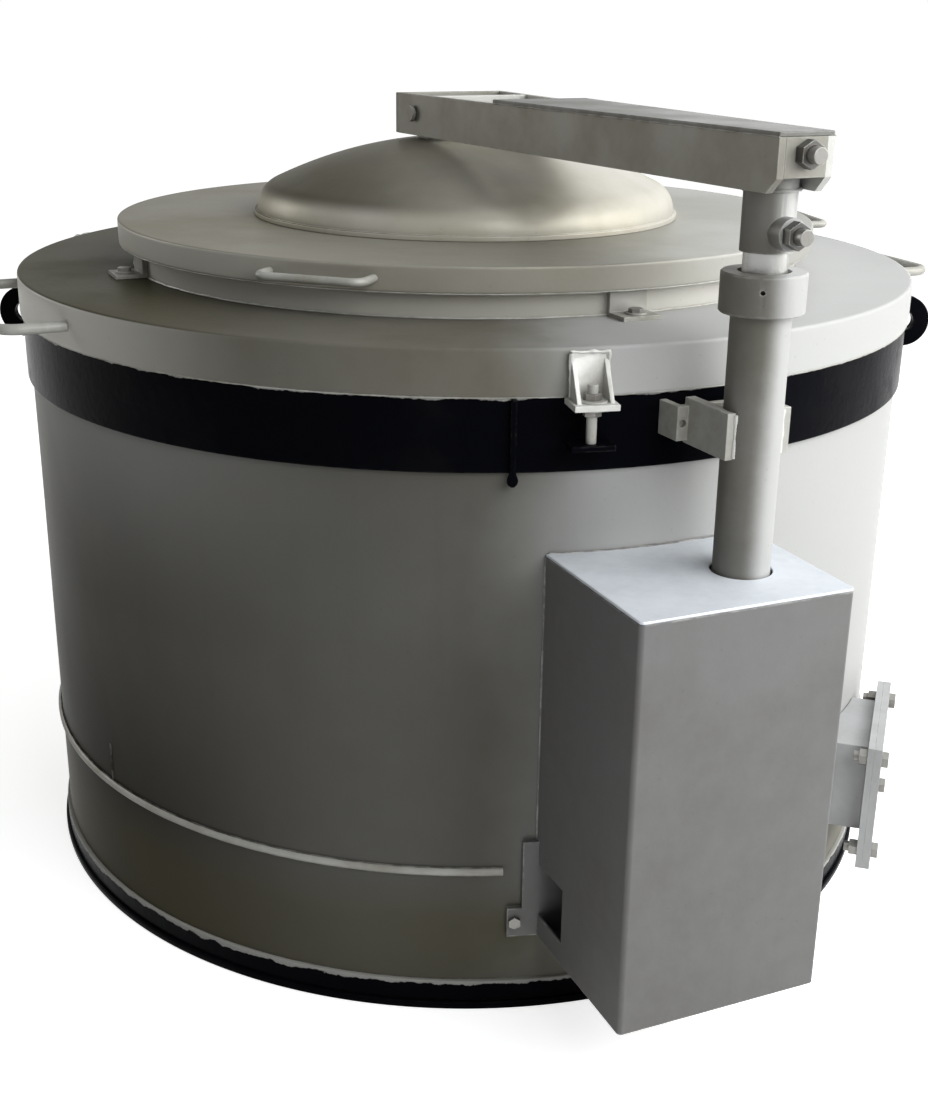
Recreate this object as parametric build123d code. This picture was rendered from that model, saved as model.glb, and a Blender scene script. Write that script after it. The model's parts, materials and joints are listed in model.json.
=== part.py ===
from build123d import *
import math
import os

os.makedirs("parts", exist_ok=True)

# A fixed crucible furnace: a round steel drum lined with refractory, a crucible
# inside, and a domed lid on an arm that lifts and swings about a mast at the front.
# Millimetres. The origin is on the floor under the drum's axis, +Z is up, and the mast
# stands towards -Y. Azimuths are degrees from +X, counter-clockwise seen from above.

# Clearances
fit_gap = 0.3
running_gap = 0.05
bolt_gap = 0.5

# How far a cut, or the root of a piece that is cut back, runs past its face
past = 5

# Drum
shell_radius = 739
shell_wall = 5
cover_underside = 995
bead_height = 232.5
bead_bar_radius = 6.5
bead_end_gap = 0.5

# Base
base_overhang = 10
base_plate_thickness = 12
kick_overhang = 5
kick_thickness = 12
kick_height = 34

# Black band round the top of the drum
band_thickness = 6.7
band_width = 102
tongue_from_hold_down = -7.3
tongue_width = 14
tongue_thickness = 8
tongue_below_top = 2
tongue_below_band = 10

# Cover ring
cover_overhang = 4
cover_plate_thickness = 10
cover_rim_depth = 55
cover_hole_radius = 470
cover_edge_bevel = 4

# Linings and hearth
floor_slab_thickness = 116
blanket_thickness = 60
backup_thickness = 114
hot_face_thickness = 140
stand_radius = 170
stand_height = 132

# Crucible
crucible_bottom_radius = 200
crucible_top_radius = 330
crucible_below_cover = 10
crucible_wall = 40
crucible_foot_bevel = 45

# Mouth plate, the raised disc in the middle of the cover
mouth_radius = 300
mouth_lip_width = 30
mouth_rim_radius = 585
mouth_rim_overhang = 25
mouth_skirt_height = 38
mouth_rim_height = 38
mouth_sheet = 8
mouth_deck = 10
mouth_edge_bevel = 3

# Domed lid
lid_overlap = 24
lid_edge_height = 9
lid_knuckle_radius = 50
lid_apex_height = 127
lid_sheet = 5
lid_rim_height = 8
lid_rim_width = 5
hidden_chords = 4

# Mast, from a 2 1/2 inch steam pipe
mast_azimuth = -64.76
mast_stand_off = 111.2
mast_radius = 38.05
mast_wall = 4.7
mast_above_mouth = 24
collar_thickness = 15.45
collar_drop = 44
collar_lip = 7
collar_bevel = 2
grease_hole_radius = 3
grease_hole_depth = 12
grease_hole_above_middle = 10
grease_hole_azimuth = -101
bush_wall = 5
upper_bush_length = 105
lower_bush_length = 80
lower_bush_below_top = 405

# Lid lift inside the mast
cylinder_side_gap = 2.35
cylinder_wall = 9
cylinder_length = 349.5
cylinder_base = 15
gland_length = 25
ram_radius = 14
ram_showing = 60
piston_length = 25
piston_above_base = 54.5
thrust_height = 20
thrust_inset = 0.5
thrust_race = 6
thrust_neck_depth = 3

# Arm
sleeve_wall = 5
sleeve_above_collar = 24
sleeve_below_arm = 74
arm_height = 65
arm_plate = 10
arm_rear = 62
arm_past_pin = 58.8
arm_half_width_at_tip = 100
arm_rear_chamfer = 18
top_plate_thickness = 6
top_plate_short_of_pin = 271.2
far_plate_short_of_pin = 56.2
set_bolt_radius = 10
set_nut_height = 14
set_nut_across_flats = 30
upper_set_bolt_above_middle = 13
lower_set_bolt_above_end = 25
set_boss_radius = 20
set_boss_length = 50
pin_radius = 8
pin_above_underside = 35
pin_head_radius = 13
pin_head_height = 6
pin_end_gap = 1
lug_side_gap = 4.4
lug_thickness = 10
lug_width = 40

# Lift box at the mast's foot
box_from_mast = -2
box_front_past_mast = 115
box_left = -184.5
box_width = 312
box_bottom = 125.6
box_height = 596.4
box_sheet = 4
box_fold_radius = 7
box_floor_thickness = 6
mast_hole_gap = 3
notch_rise = 35.5
notch_height = 85
notch_depth = 75
saddle_thickness = 8
saddle_past_box = 22
saddle_height = 157.5
saddle_wing_width = 20.7
saddle_wing_height = 47.5
saddle_bolt_radius = 5
saddle_bolt_rise = 25.5
saddle_head_across_flats = 17
saddle_head_height = 6.5

# Tie between the mast and the band
tie_bar = 10
tie_behind_mast = 72.7
tie_reach = 65
tie_below_cover = 10.5
tie_height = 46.5
tie_cheek_front = 14
tie_cheek_root = 5
tie_cheek_below_cover = 1
tie_cheek_height = 61
tie_hole_radius = 5
tie_hole_inset = 9
tie_hole_depth = 8

# Hold-downs of the cover
hold_down_from_mast = -12.94
hold_down_count = 3
hold_down_width = 50
hold_down_below_top = 5
leaf_width = 60
leaf_thickness = 8
leaf_reach = 50
gusset_thickness = 6
gusset_inset = 8
hold_bolt_offset = 25
hold_bolt_radius = 7
hold_nut_across_flats = 22
hold_nut_height = 11
hold_bolt_above_leaf = 22
ledge_below_leaf = 48
ledge_thickness = 8
ledge_reach = 44

# Lifting lugs on the band
lifting_azimuths = (0, 180)
lifting_thickness = 20
lifting_radius = 44
lifting_centre_offset = 25
lifting_root_half_height = 38
lifting_hole_radius = 17

# Handles
cover_handle_azimuths = (-155, 20)
cover_handle_bar_radius = 8
cover_handle_bend = 32
cover_handle_half_width = 194
cover_handle_reach = 70
cover_handle_above_rim = 33
mouth_handle_azimuths = (-110, 10, 130)
mouth_handle_bar_radius = 6
mouth_handle_bend = 18
mouth_handle_half_width = 79
mouth_handle_reach = 40

# Clamps between the mouth plate and the cover
clamp_azimuths = (-66, -156, 114, 24)
clamp_width = 60
clamp_foot_thickness = 6
clamp_foot_reach = 50
clamp_back_height = 34
clamp_back_thickness = 8
clamp_bolt_offset = 30
clamp_bolt_radius = 6
clamp_head_across_flats = 19
clamp_head_height = 8

# Burner port, set off the centre so that the flame circles the crucible
port_azimuth = -17.5
port_offset = -205
port_reach = 51
port_plate_thickness = 12
port_plate_side_lip = 42
port_plate_below_duct = 46
port_plate_above_duct = 18
port_flange_thickness = 10
duct_above_floor = 50
duct_wall = 8
duct_width = 180
duct_height = 147
quarl_bore_radius = 45
port_bolt_radius = 8
port_bolt_inset_side = 20
port_bolt_inset_end = 25
port_bolt_past_nut = 8
port_nut_across_flats = 24
port_nut_height = 13
port_head_height = 10

# Radii that follow from the ones above, from the drum's wall outwards and inwards
shell_inner_radius = shell_radius - shell_wall
base_radius = shell_radius + base_overhang
kick_outer_radius = shell_radius + kick_overhang
kick_inner_radius = kick_outer_radius - kick_thickness
band_inner_radius = shell_radius + fit_gap
band_radius = band_inner_radius + band_thickness
cover_radius = band_radius + cover_overhang
blanket_inner_radius = shell_inner_radius - blanket_thickness
backup_inner_radius = blanket_inner_radius - backup_thickness
chamber_radius = backup_inner_radius - hot_face_thickness
mouth_lip_radius = mouth_radius + mouth_lip_width
mouth_skirt_radius = mouth_rim_radius - mouth_rim_overhang
lid_radius = mouth_lip_radius + lid_overlap
saddle_inner_radius = shell_radius + fit_gap
saddle_outer_radius = saddle_inner_radius + saddle_thickness

# Heights that follow, from the floor upwards
kick_ring_top = base_plate_thickness + kick_height
floor_top = base_plate_thickness + floor_slab_thickness
stand_top = floor_top + stand_height
crucible_top = cover_underside - crucible_below_cover
cover_top = cover_underside + cover_plate_thickness
band_top = cover_underside - cover_rim_depth
band_bottom = band_top - band_width
mouth_rim_underside = cover_top + mouth_skirt_height
mouth_top = mouth_rim_underside + mouth_rim_height
lid_bottom = mouth_top + fit_gap
hold_down_top = cover_top - hold_down_below_top
leaf_bottom = band_top - leaf_thickness
ledge_top = leaf_bottom - ledge_below_leaf
lifting_height = band_top - lifting_root_half_height
cover_handle_height = band_top + cover_handle_above_rim
mouth_handle_height = (mouth_rim_underside + mouth_top) / 2
tie_top = band_top - tie_below_cover
tie_bottom = tie_top - tie_height
tie_cheek_top = band_top - tie_cheek_below_cover
tie_cheek_bottom = tie_cheek_top - tie_cheek_height

# The mast, its bushes and its lift
mast_distance = cover_radius + mast_stand_off
mast_x = mast_distance * math.cos(math.radians(mast_azimuth))
mast_y = mast_distance * math.sin(math.radians(mast_azimuth))
mast_inner_radius = mast_radius - mast_wall
mast_top = mouth_top + mast_above_mouth
collar_radius = mast_radius + collar_thickness
collar_bottom = mast_top - collar_drop
collar_top = mast_top + collar_lip
bush_outer_radius = mast_inner_radius - fit_gap
bush_bore_radius = bush_outer_radius - bush_wall
spindle_radius = bush_bore_radius - running_gap
lower_bush_bottom = mast_top - lower_bush_below_top
box_top = box_bottom + box_height
box_floor_top = box_bottom + box_floor_thickness
cylinder_radius = mast_inner_radius - cylinder_side_gap
cylinder_bore_radius = cylinder_radius - cylinder_wall
cylinder_top = box_floor_top + cylinder_length
piston_bottom = box_floor_top + cylinder_base + piston_above_base
thrust_bottom = cylinder_top + ram_showing
thrust_top = thrust_bottom + thrust_height
thrust_radius = spindle_radius - thrust_inset

# The arm and the pin that the lid hangs on
sleeve_radius = spindle_radius + sleeve_wall
sleeve_bottom = collar_top + sleeve_above_collar
arm_bottom = sleeve_bottom + sleeve_below_arm
arm_top = arm_bottom + arm_height
arm_length = mast_distance + arm_past_pin
arm_half_width_at_mast = sleeve_radius + fit_gap + arm_plate
top_plate_end = mast_distance - top_plate_short_of_pin
far_cross_plate = mast_distance - far_plate_short_of_pin
upper_set_bolt_height = (arm_bottom + arm_top) / 2 + upper_set_bolt_above_middle
lower_set_bolt_height = sleeve_bottom + lower_set_bolt_above_end
pin_height = arm_bottom + pin_above_underside

# The lift box, and the azimuths that go with the mast
box_azimuth = mast_azimuth + box_from_mast
box_right = box_left + box_width
box_front_distance = mast_distance + box_front_past_mast
saddle_left = saddle_past_box - box_left
saddle_right = saddle_past_box + box_right
saddle_left_angle = math.degrees(math.asin(saddle_left / saddle_outer_radius))
saddle_right_angle = math.degrees(math.asin(saddle_right / saddle_outer_radius))
wing_left_angle = math.degrees(math.asin((saddle_left + saddle_wing_width) / saddle_outer_radius))
wing_right_angle = math.degrees(math.asin((saddle_right + saddle_wing_width) / saddle_outer_radius))
saddle_top = box_bottom + saddle_height
saddle_wing_top = box_bottom + saddle_wing_height
saddle_bolt_height = box_bottom + saddle_bolt_rise
notch_bottom = box_bottom + notch_rise
notch_top = notch_bottom + notch_height
hold_down_azimuth = mast_azimuth + hold_down_from_mast
tongue_azimuth = hold_down_azimuth + tongue_from_hold_down

# The burner port
duct_bottom = floor_top + duct_above_floor
duct_top = duct_bottom + duct_height
channel_bottom = duct_bottom + duct_wall
channel_top = duct_top - duct_wall
duct_inner_half_width = duct_width / 2 - duct_wall
port_plate_face = shell_radius + port_reach
port_plate_back = port_plate_face - port_plate_thickness
port_flange_back = port_plate_back - port_flange_thickness
port_plate_half_width = duct_width / 2 + port_plate_side_lip
port_plate_bottom = duct_bottom - port_plate_below_duct
port_plate_top = duct_top + port_plate_above_duct

STANDING = (Align.CENTER, Align.CENTER, Align.MIN)


def tube(outer, inner, bottom, top):
    height = top - bottom
    ring = Cylinder(outer, height, align=STANDING) - Cylinder(inner, height, align=STANDING)
    return Pos(0, 0, bottom) * ring


def disc(radius, bottom, top):
    return Pos(0, 0, bottom) * Cylinder(radius, top - bottom, align=STANDING)


def block(x_low, x_high, y_low, y_high, z_low, z_high):
    solid = Box(x_high - x_low, y_high - y_low, z_high - z_low)
    return Pos((x_low + x_high) / 2, (y_low + y_high) / 2, (z_low + z_high) / 2) * solid


def rod_along_x(radius, x_low, x_high, y, z):
    bar = Cylinder(radius, x_high - x_low, align=STANDING)
    return Pos(x_low, y, z) * Rot(Y=90) * bar


def rod_along_y(radius, x, y_low, y_high, z):
    bar = Cylinder(radius, y_high - y_low, align=STANDING)
    return Pos(x, y_low, z) * Rot(X=-90) * bar


def hexagon(across_flats, height):
    return extrude(RegularPolygon(across_flats / 2, 6, major_radius=False), height)


def turned(outline):
    """A solid of revolution from a list of (radius, height) corners."""
    face = make_face(Plane.XZ * Polyline(*outline, close=True))
    return revolve(face, Axis.Z)


def around(azimuth, piece):
    return Rot(Z=azimuth) * piece


def outside(piece, radius, bottom=0, top=arm_top):
    """Cuts a piece back to a round surface that it is fitted to."""
    return piece - disc(radius, bottom, top)


def on_mast_axis(piece):
    return Pos(mast_x, mast_y, 0) * piece


def on_mast(piece):
    """Puts a piece drawn about the Z axis, +X along the arm, onto the mast."""
    return Pos(mast_x, mast_y, 0) * Rot(Z=mast_azimuth + 180) * piece


def bent_bar(bar_radius, half_width, wall_radius, reach, height, bend):
    """A round bar bent to a U that lies flat, its legs cut back to a round wall."""
    start = math.sqrt(wall_radius ** 2 - (half_width + bar_radius) ** 2) - bar_radius
    out = wall_radius + reach
    path = FilletPolyline(
        (start, -half_width, height),
        (out, -half_width, height),
        (out, half_width, height),
        (start, half_width, height),
        radius=bend,
    )
    section = Plane(origin=(start, -half_width, height), z_dir=(1, 0, 0)) * Circle(bar_radius)
    return outside(sweep(section, path=path), wall_radius + fit_gap)


def save(name, *solids):
    shape = solids[0] if len(solids) == 1 else Compound(children=list(solids))
    export_step(shape, f"parts/{name}.step")


# Burner port shapes that other pieces are cut by

def in_port(piece):
    return Rot(Z=port_azimuth) * Pos(0, port_offset, 0) * piece


def port_channel():
    half = duct_inner_half_width
    return in_port(block(0, port_plate_face, -half, half, channel_bottom, channel_top))


# Base and drum

def make_base():
    save("base_plate", disc(base_radius, 0, base_plate_thickness))
    save("base_kick_ring", tube(kick_outer_radius, kick_inner_radius, base_plate_thickness, kick_ring_top))


def saddle_bolt_places():
    yield box_azimuth - (saddle_left_angle + wing_left_angle) / 2
    yield box_azimuth + (saddle_right_angle + wing_right_angle) / 2


def make_drum_shell():
    shell = tube(shell_radius, shell_inner_radius, kick_ring_top, cover_underside)
    shell -= port_channel()
    for azimuth in saddle_bolt_places():
        hole = rod_along_x(saddle_bolt_radius + fit_gap, shell_inner_radius - past, shell_radius + past,
                           0, saddle_bolt_height)
        shell -= around(azimuth, hole)
    save("drum_shell", shell)


def make_drum_bead():
    """Bar round the shell, stopped either side of the lift box's saddle and at the port."""
    inner = shell_radius + fit_gap
    size = bead_bar_radius
    flank = size / 2
    section = Polyline(
        (inner, bead_height - size),
        (inner + flank, bead_height - size),
        (inner + size, bead_height - flank),
        (inner + size, bead_height + flank),
        (inner + flank, bead_height + size),
        (inner, bead_height + size),
        close=True,
    )
    arc = 360 - wing_left_angle - wing_right_angle - 2 * bead_end_gap
    bead = revolve(make_face(Plane.XZ * section), Axis.Z, revolution_arc=arc)
    bead = around(box_azimuth + wing_right_angle + bead_end_gap, bead)
    half = duct_width / 2 + fit_gap
    cut = block(chamber_radius, port_plate_face, -half, half, duct_bottom, port_plate_top)
    save("drum_bead", bead - in_port(cut))


def make_top_band():
    save("top_band", tube(band_radius, band_inner_radius, band_bottom, band_top))
    out = band_radius + tongue_thickness
    half = tongue_width / 2
    bottom = band_bottom - tongue_below_band
    tongue = block(band_radius - past, out, -half, half, bottom, band_top - tongue_below_top)
    knob = rod_along_x(half, band_radius - past, out, 0, bottom)
    tongue = outside(tongue + knob, band_radius + fit_gap)
    save("band_tongue", around(tongue_azimuth, tongue))


def make_cover_ring():
    ring = turned([
        (cover_hole_radius, cover_underside),
        (band_inner_radius, cover_underside),
        (band_inner_radius, band_top),
        (cover_radius, band_top),
        (cover_radius, cover_top),
        (cover_hole_radius, cover_top),
    ])
    outer_edge = ring.edges().filter_by(GeomType.CIRCLE).group_by(Axis.Z)[-1].sort_by(SortBy.RADIUS)[-1]
    ring = chamfer(outer_edge, cover_edge_bevel)
    for azimuth in clamp_azimuths:
        hole = disc(clamp_bolt_radius + fit_gap, cover_underside - past, cover_top + past)
        ring -= around(azimuth, Pos(mouth_skirt_radius + clamp_bolt_offset, 0, 0) * hole)
    save("cover_ring", ring)


# Linings, hearth and crucible

def make_linings():
    channel = port_channel()
    blanket = tube(shell_inner_radius - fit_gap, blanket_inner_radius, floor_top, cover_underside)
    backup = tube(blanket_inner_radius - fit_gap, backup_inner_radius, floor_top, cover_underside)
    hot_face = tube(backup_inner_radius - fit_gap, chamber_radius, floor_top, cover_underside)
    save("fibre_blanket", blanket - channel)
    save("backup_lining", backup - channel)
    save("hot_face_lining", hot_face - channel)
    save("floor_slab", disc(kick_inner_radius - fit_gap, base_plate_thickness, floor_top))
    save("crucible_stand", disc(stand_radius, floor_top, stand_top))


def make_crucible():
    bottom = stand_top
    outline = [(0, bottom), (crucible_bottom_radius, bottom),
               (crucible_top_radius, crucible_top), (0, crucible_top)]
    body = turned(outline)
    foot = body.edges().filter_by(GeomType.CIRCLE).group_by(Axis.Z)[0]
    body = chamfer(foot, crucible_foot_bevel)
    inner = turned([
        (0, bottom + crucible_wall),
        (crucible_bottom_radius - crucible_wall, bottom + crucible_wall),
        (crucible_top_radius - crucible_wall, crucible_top + past),
        (0, crucible_top + past),
    ])
    inner_foot = inner.edges().filter_by(GeomType.CIRCLE).group_by(Axis.Z)[0]
    inner = chamfer(inner_foot, crucible_foot_bevel)
    save("crucible", body - inner)


# Mouth plate

def make_mouth():
    deck = mouth_top - mouth_deck
    inside_rim = mouth_rim_radius - mouth_sheet
    inside_skirt = mouth_skirt_radius - mouth_sheet
    ledge_top_height = mouth_rim_underside + mouth_sheet
    casing = turned([
        (mouth_rim_radius, mouth_top),
        (mouth_rim_radius, mouth_rim_underside),
        (mouth_skirt_radius, mouth_rim_underside),
        (mouth_skirt_radius, cover_top),
        (inside_skirt, cover_top),
        (inside_skirt, ledge_top_height),
        (inside_rim, ledge_top_height),
        (inside_rim, deck),
        (mouth_lip_radius, deck),
        (mouth_lip_radius, mouth_top),
    ])
    rim_edge = casing.edges().filter_by(GeomType.CIRCLE).group_by(Axis.Z)[-1].sort_by(SortBy.RADIUS)[-1]
    save("mouth_plate", chamfer(rim_edge, mouth_edge_bevel))
    refractory = turned([
        (mouth_radius, cover_top),
        (inside_skirt - fit_gap, cover_top),
        (inside_skirt - fit_gap, ledge_top_height),
        (inside_rim - fit_gap, ledge_top_height),
        (inside_rim - fit_gap, deck),
        (mouth_lip_radius - fit_gap, deck),
        (mouth_lip_radius - fit_gap, mouth_top),
        (mouth_radius, mouth_top),
    ])
    save("mouth_refractory", refractory)


def make_mouth_handles():
    bar = bent_bar(
        mouth_handle_bar_radius,
        mouth_handle_half_width,
        mouth_rim_radius,
        mouth_handle_reach,
        mouth_handle_height,
        mouth_handle_bend,
    )
    save("mouth_handles", *[around(azimuth, bar) for azimuth in mouth_handle_azimuths])


def make_mouth_clamps():
    back = mouth_skirt_radius
    half = clamp_width / 2
    head_bottom = cover_top + clamp_foot_thickness
    foot = block(back - past, back + clamp_foot_reach, -half, half, cover_top, head_bottom)
    foot += block(back - past, back + clamp_back_thickness, -half, half, cover_top, cover_top + clamp_back_height)
    foot = outside(foot, back + fit_gap)
    bolt_place = Pos(back + clamp_bolt_offset, 0, 0)
    foot -= bolt_place * disc(clamp_bolt_radius + fit_gap, cover_top - past, head_bottom + past)
    bolt = disc(clamp_bolt_radius, cover_underside, head_bottom)
    bolt += Pos(0, 0, head_bottom) * hexagon(clamp_head_across_flats, clamp_head_height)
    bolt = bolt_place * bolt
    save("mouth_clamps", *[around(azimuth, foot) for azimuth in clamp_azimuths])
    save("mouth_clamp_bolts", *[around(azimuth, bolt) for azimuth in clamp_azimuths])


# Fittings on the cover rim and the band

def make_hold_downs():
    half = hold_down_width / 2
    leaf_half = leaf_width / 2
    bolt_x = cover_radius + hold_bolt_offset
    root = cover_radius - past
    back = block(root, cover_radius + leaf_thickness, -half, half, leaf_bottom, hold_down_top)
    leaf = block(root, cover_radius + leaf_reach, -leaf_half, leaf_half, leaf_bottom, band_top)
    side = Plane.XZ * Polyline(
        (cover_radius, band_top),
        (cover_radius + leaf_reach - gusset_inset, band_top),
        (cover_radius + leaf_thickness, hold_down_top - gusset_inset),
        (cover_radius, hold_down_top - gusset_inset),
        close=True,
    )
    gusset = extrude(make_face(side), gusset_thickness)
    bracket = back + leaf + Pos(0, half, 0) * gusset + Pos(0, gusset_thickness - half, 0) * gusset
    bracket = outside(bracket, cover_radius + fit_gap)
    bracket -= Pos(bolt_x, 0, 0) * disc(hold_bolt_radius + bolt_gap, leaf_bottom - past, band_top + past)

    bolt = Pos(bolt_x, 0, 0) * disc(hold_bolt_radius, ledge_top, band_top + hold_bolt_above_leaf)
    nut = hexagon(hold_nut_across_flats, hold_nut_height)
    nut -= disc(hold_bolt_radius + fit_gap, -past, hold_nut_height + past)
    upper_nut = Pos(bolt_x, 0, band_top) * nut
    lower_nut = Pos(bolt_x, 0, leaf_bottom - hold_nut_height) * nut

    ledge = block(band_radius - past, band_radius + ledge_reach, -leaf_half, leaf_half,
                  ledge_top - ledge_thickness, ledge_top)
    ledge = outside(ledge, band_radius + fit_gap)

    step = 360 / hold_down_count
    azimuths = [hold_down_azimuth + step * i for i in range(hold_down_count)]
    save("hold_down_brackets", *[around(azimuth, bracket) for azimuth in azimuths])
    save("hold_down_bolts", *[around(azimuth, bolt) for azimuth in azimuths])
    nuts = [around(azimuth, piece) for azimuth in azimuths for piece in (upper_nut, lower_nut)]
    save("hold_down_nuts", *nuts)
    save("band_ledges", *[around(azimuth, ledge) for azimuth in azimuths])


def make_lifting_lugs():
    centre = band_radius + lifting_centre_offset
    half = lifting_thickness / 2
    lug = rod_along_y(lifting_radius, centre, -half, half, lifting_height)
    root = lifting_root_half_height
    lug &= block(centre, centre + 2 * lifting_radius, -half, half,
                 lifting_height - lifting_radius, lifting_height + lifting_radius)
    lug += block(band_radius - past, centre, -half, half, lifting_height - root, lifting_height + root)
    lug -= rod_along_y(lifting_hole_radius, centre, -lifting_thickness, lifting_thickness, lifting_height)
    lug = outside(lug, band_radius + fit_gap)
    save("lifting_lugs", *[around(azimuth, lug) for azimuth in lifting_azimuths])


def make_cover_handles():
    bar = bent_bar(
        cover_handle_bar_radius,
        cover_handle_half_width,
        cover_radius,
        cover_handle_reach,
        cover_handle_height,
        cover_handle_bend,
    )
    save("cover_handles", *[around(azimuth, bar) for azimuth in cover_handle_azimuths])


# Lift box. In its own frame +X points out of the drum through the box's front, and +Y is
# to the right seen from the front turned round, so the box's left is its low Y side.

def in_box(piece):
    return Rot(Z=box_azimuth) * piece


def box_outline(inset, bottom, top, start=chamber_radius):
    """A block inside the box's faces by inset, with the folds of its two front corners."""
    outline = block(start, box_front_distance - inset, box_left + inset, box_right - inset, bottom, top)
    fold = max(box_fold_radius - inset, running_gap)
    return fillet(outline.edges().filter_by(Axis.Z).group_by(Axis.X)[-1], fold)


def make_lift_box():
    wrap_top = box_top - box_sheet
    wrap = box_outline(0, box_bottom, wrap_top)
    hollow = box_outline(box_sheet, box_bottom - past, wrap_top + past, chamber_radius - past)
    wrap = in_box(wrap - hollow)
    wrap = outside(wrap, saddle_inner_radius)
    wrap = outside(wrap, saddle_outer_radius + fit_gap, 0, saddle_top + fit_gap)
    notch = tube(saddle_outer_radius + notch_depth, chamber_radius, notch_bottom, notch_top)
    side = box_left + box_sheet
    notch &= in_box(block(0, box_front_distance, side - notch_depth, side + past, notch_bottom, notch_top))
    save("lift_box", wrap - notch)

    top = in_box(box_outline(0, wrap_top, box_top))
    top = outside(top, saddle_inner_radius)
    top -= on_mast_axis(disc(mast_radius + mast_hole_gap, wrap_top - past, box_top + past))
    save("box_top", top)

    floor = in_box(box_outline(box_sheet + fit_gap, box_bottom, box_floor_top))
    floor = outside(floor, saddle_outer_radius + fit_gap)
    save("box_floor", floor)


def curved_plate(top, left_angle, right_angle):
    """A plate bent to the drum, from the box's underside up, either side of the box's azimuth."""
    middle = Pos((saddle_inner_radius + saddle_outer_radius) / 2, (box_bottom + top) / 2)
    profile = Plane.XZ * middle * Rectangle(saddle_thickness, top - box_bottom)
    piece = revolve(profile, Axis.Z, revolution_arc=left_angle + right_angle)
    return around(box_azimuth - left_angle, piece)


def make_box_saddle():
    inner = saddle_inner_radius
    outer = saddle_outer_radius
    saddle = curved_plate(saddle_top, saddle_left_angle, saddle_right_angle)
    saddle += curved_plate(saddle_wing_top, wing_left_angle, wing_right_angle)
    bolts = []
    for azimuth in saddle_bolt_places():
        hole = rod_along_x(saddle_bolt_radius + fit_gap, inner - past, outer + past, 0, saddle_bolt_height)
        saddle -= around(azimuth, hole)
        bolt = rod_along_x(saddle_bolt_radius, shell_inner_radius, outer, 0, saddle_bolt_height)
        head = hexagon(saddle_head_across_flats, saddle_head_height)
        bolt += Pos(outer, 0, saddle_bolt_height) * Rot(Y=90) * head
        bolts.append(around(azimuth, bolt))
    save("box_saddle", saddle)
    save("box_bolts", *bolts)


# Mast and lift

def make_mast():
    pipe = tube(mast_radius, mast_inner_radius, box_floor_top, mast_top)
    save("mast_pipe", on_mast_axis(pipe))

    collar = tube(collar_radius, mast_radius + fit_gap, collar_bottom, mast_top)
    collar += tube(collar_radius, mast_inner_radius, mast_top, collar_top)
    rims = collar.edges().filter_by(GeomType.CIRCLE).filter_by(
        lambda edge: abs(edge.radius - collar_radius) < 0.1)
    collar = chamfer(rims, collar_bevel)
    hole = rod_along_x(grease_hole_radius, collar_radius - grease_hole_depth, collar_radius + past, 0,
                       (collar_bottom + mast_top) / 2 + grease_hole_above_middle)
    save("mast_collar", on_mast_axis(collar - Rot(Z=grease_hole_azimuth) * hole))

    lower_bush_top = lower_bush_bottom + lower_bush_length
    upper = tube(bush_outer_radius, bush_bore_radius, mast_top - upper_bush_length, mast_top)
    lower = tube(bush_outer_radius, bush_bore_radius, lower_bush_bottom, lower_bush_top)
    save("upper_bush", on_mast_axis(upper))
    save("lower_bush", on_mast_axis(lower))


def make_lift():
    barrel = tube(cylinder_radius, cylinder_bore_radius, box_floor_top, cylinder_top)
    barrel += disc(cylinder_bore_radius, box_floor_top, box_floor_top + cylinder_base)
    save("lift_cylinder", on_mast_axis(barrel))
    gland = tube(cylinder_bore_radius - running_gap, ram_radius + running_gap,
                 cylinder_top - gland_length, cylinder_top)
    save("cylinder_gland", on_mast_axis(gland))
    ram = disc(ram_radius, piston_bottom, thrust_bottom)
    ram += disc(cylinder_bore_radius - running_gap, piston_bottom, piston_bottom + piston_length)
    save("ram_rod", on_mast_axis(ram))

    neck = thrust_radius - thrust_neck_depth
    bearing = turned([
        (0, thrust_bottom),
        (thrust_radius, thrust_bottom),
        (thrust_radius, thrust_bottom + thrust_race),
        (neck, thrust_bottom + thrust_race),
        (neck, thrust_top - thrust_race),
        (thrust_radius, thrust_top - thrust_race),
        (thrust_radius, thrust_top),
        (0, thrust_top),
    ])
    save("thrust_bearing", on_mast_axis(bearing))


def make_tie():
    """A bar behind the mast on two legs from the band, with a cheek either side of the mast."""
    wall = mast_radius + fit_gap
    front = -tie_behind_mast
    back = front - tie_bar
    leg_end = blanket_inner_radius - mast_distance
    tie = block(back, front, -tie_reach, tie_reach, tie_bottom, tie_top)
    for side in (-1, 1):
        low, high = sorted((side * (tie_reach - tie_bar), side * tie_reach))
        tie += block(leg_end, front, low, high, tie_bottom, tie_top)
        low, high = sorted((side * (wall - tie_cheek_root), side * (wall + tie_bar)))
        tie += block(back, tie_cheek_front, low, high, tie_cheek_bottom, tie_cheek_top)
    tie -= disc(wall, tie_cheek_bottom - past, tie_cheek_top + past)
    middle = (tie_bottom + tie_top) / 2
    tie -= rod_along_x(tie_hole_radius, front - tie_hole_depth, front + past, tie_hole_inset - tie_reach, middle)
    tie = on_mast_axis(Rot(Z=mast_azimuth) * tie)
    save("tie_bracket", outside(tie, band_radius + fit_gap))


# Swinging arm. In its own frame +X runs from the mast to the lid's centre.

arm_taper = math.atan2(arm_half_width_at_tip - arm_half_width_at_mast, arm_length)
arm_plate_across = arm_plate / math.cos(arm_taper)


def arm_half_width(distance):
    return arm_half_width_at_mast + distance * math.tan(arm_taper)


def pin_hole():
    reach = arm_half_width_at_tip + arm_plate
    return rod_along_y(pin_radius + fit_gap, mast_distance, -reach, reach, pin_height)


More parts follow.
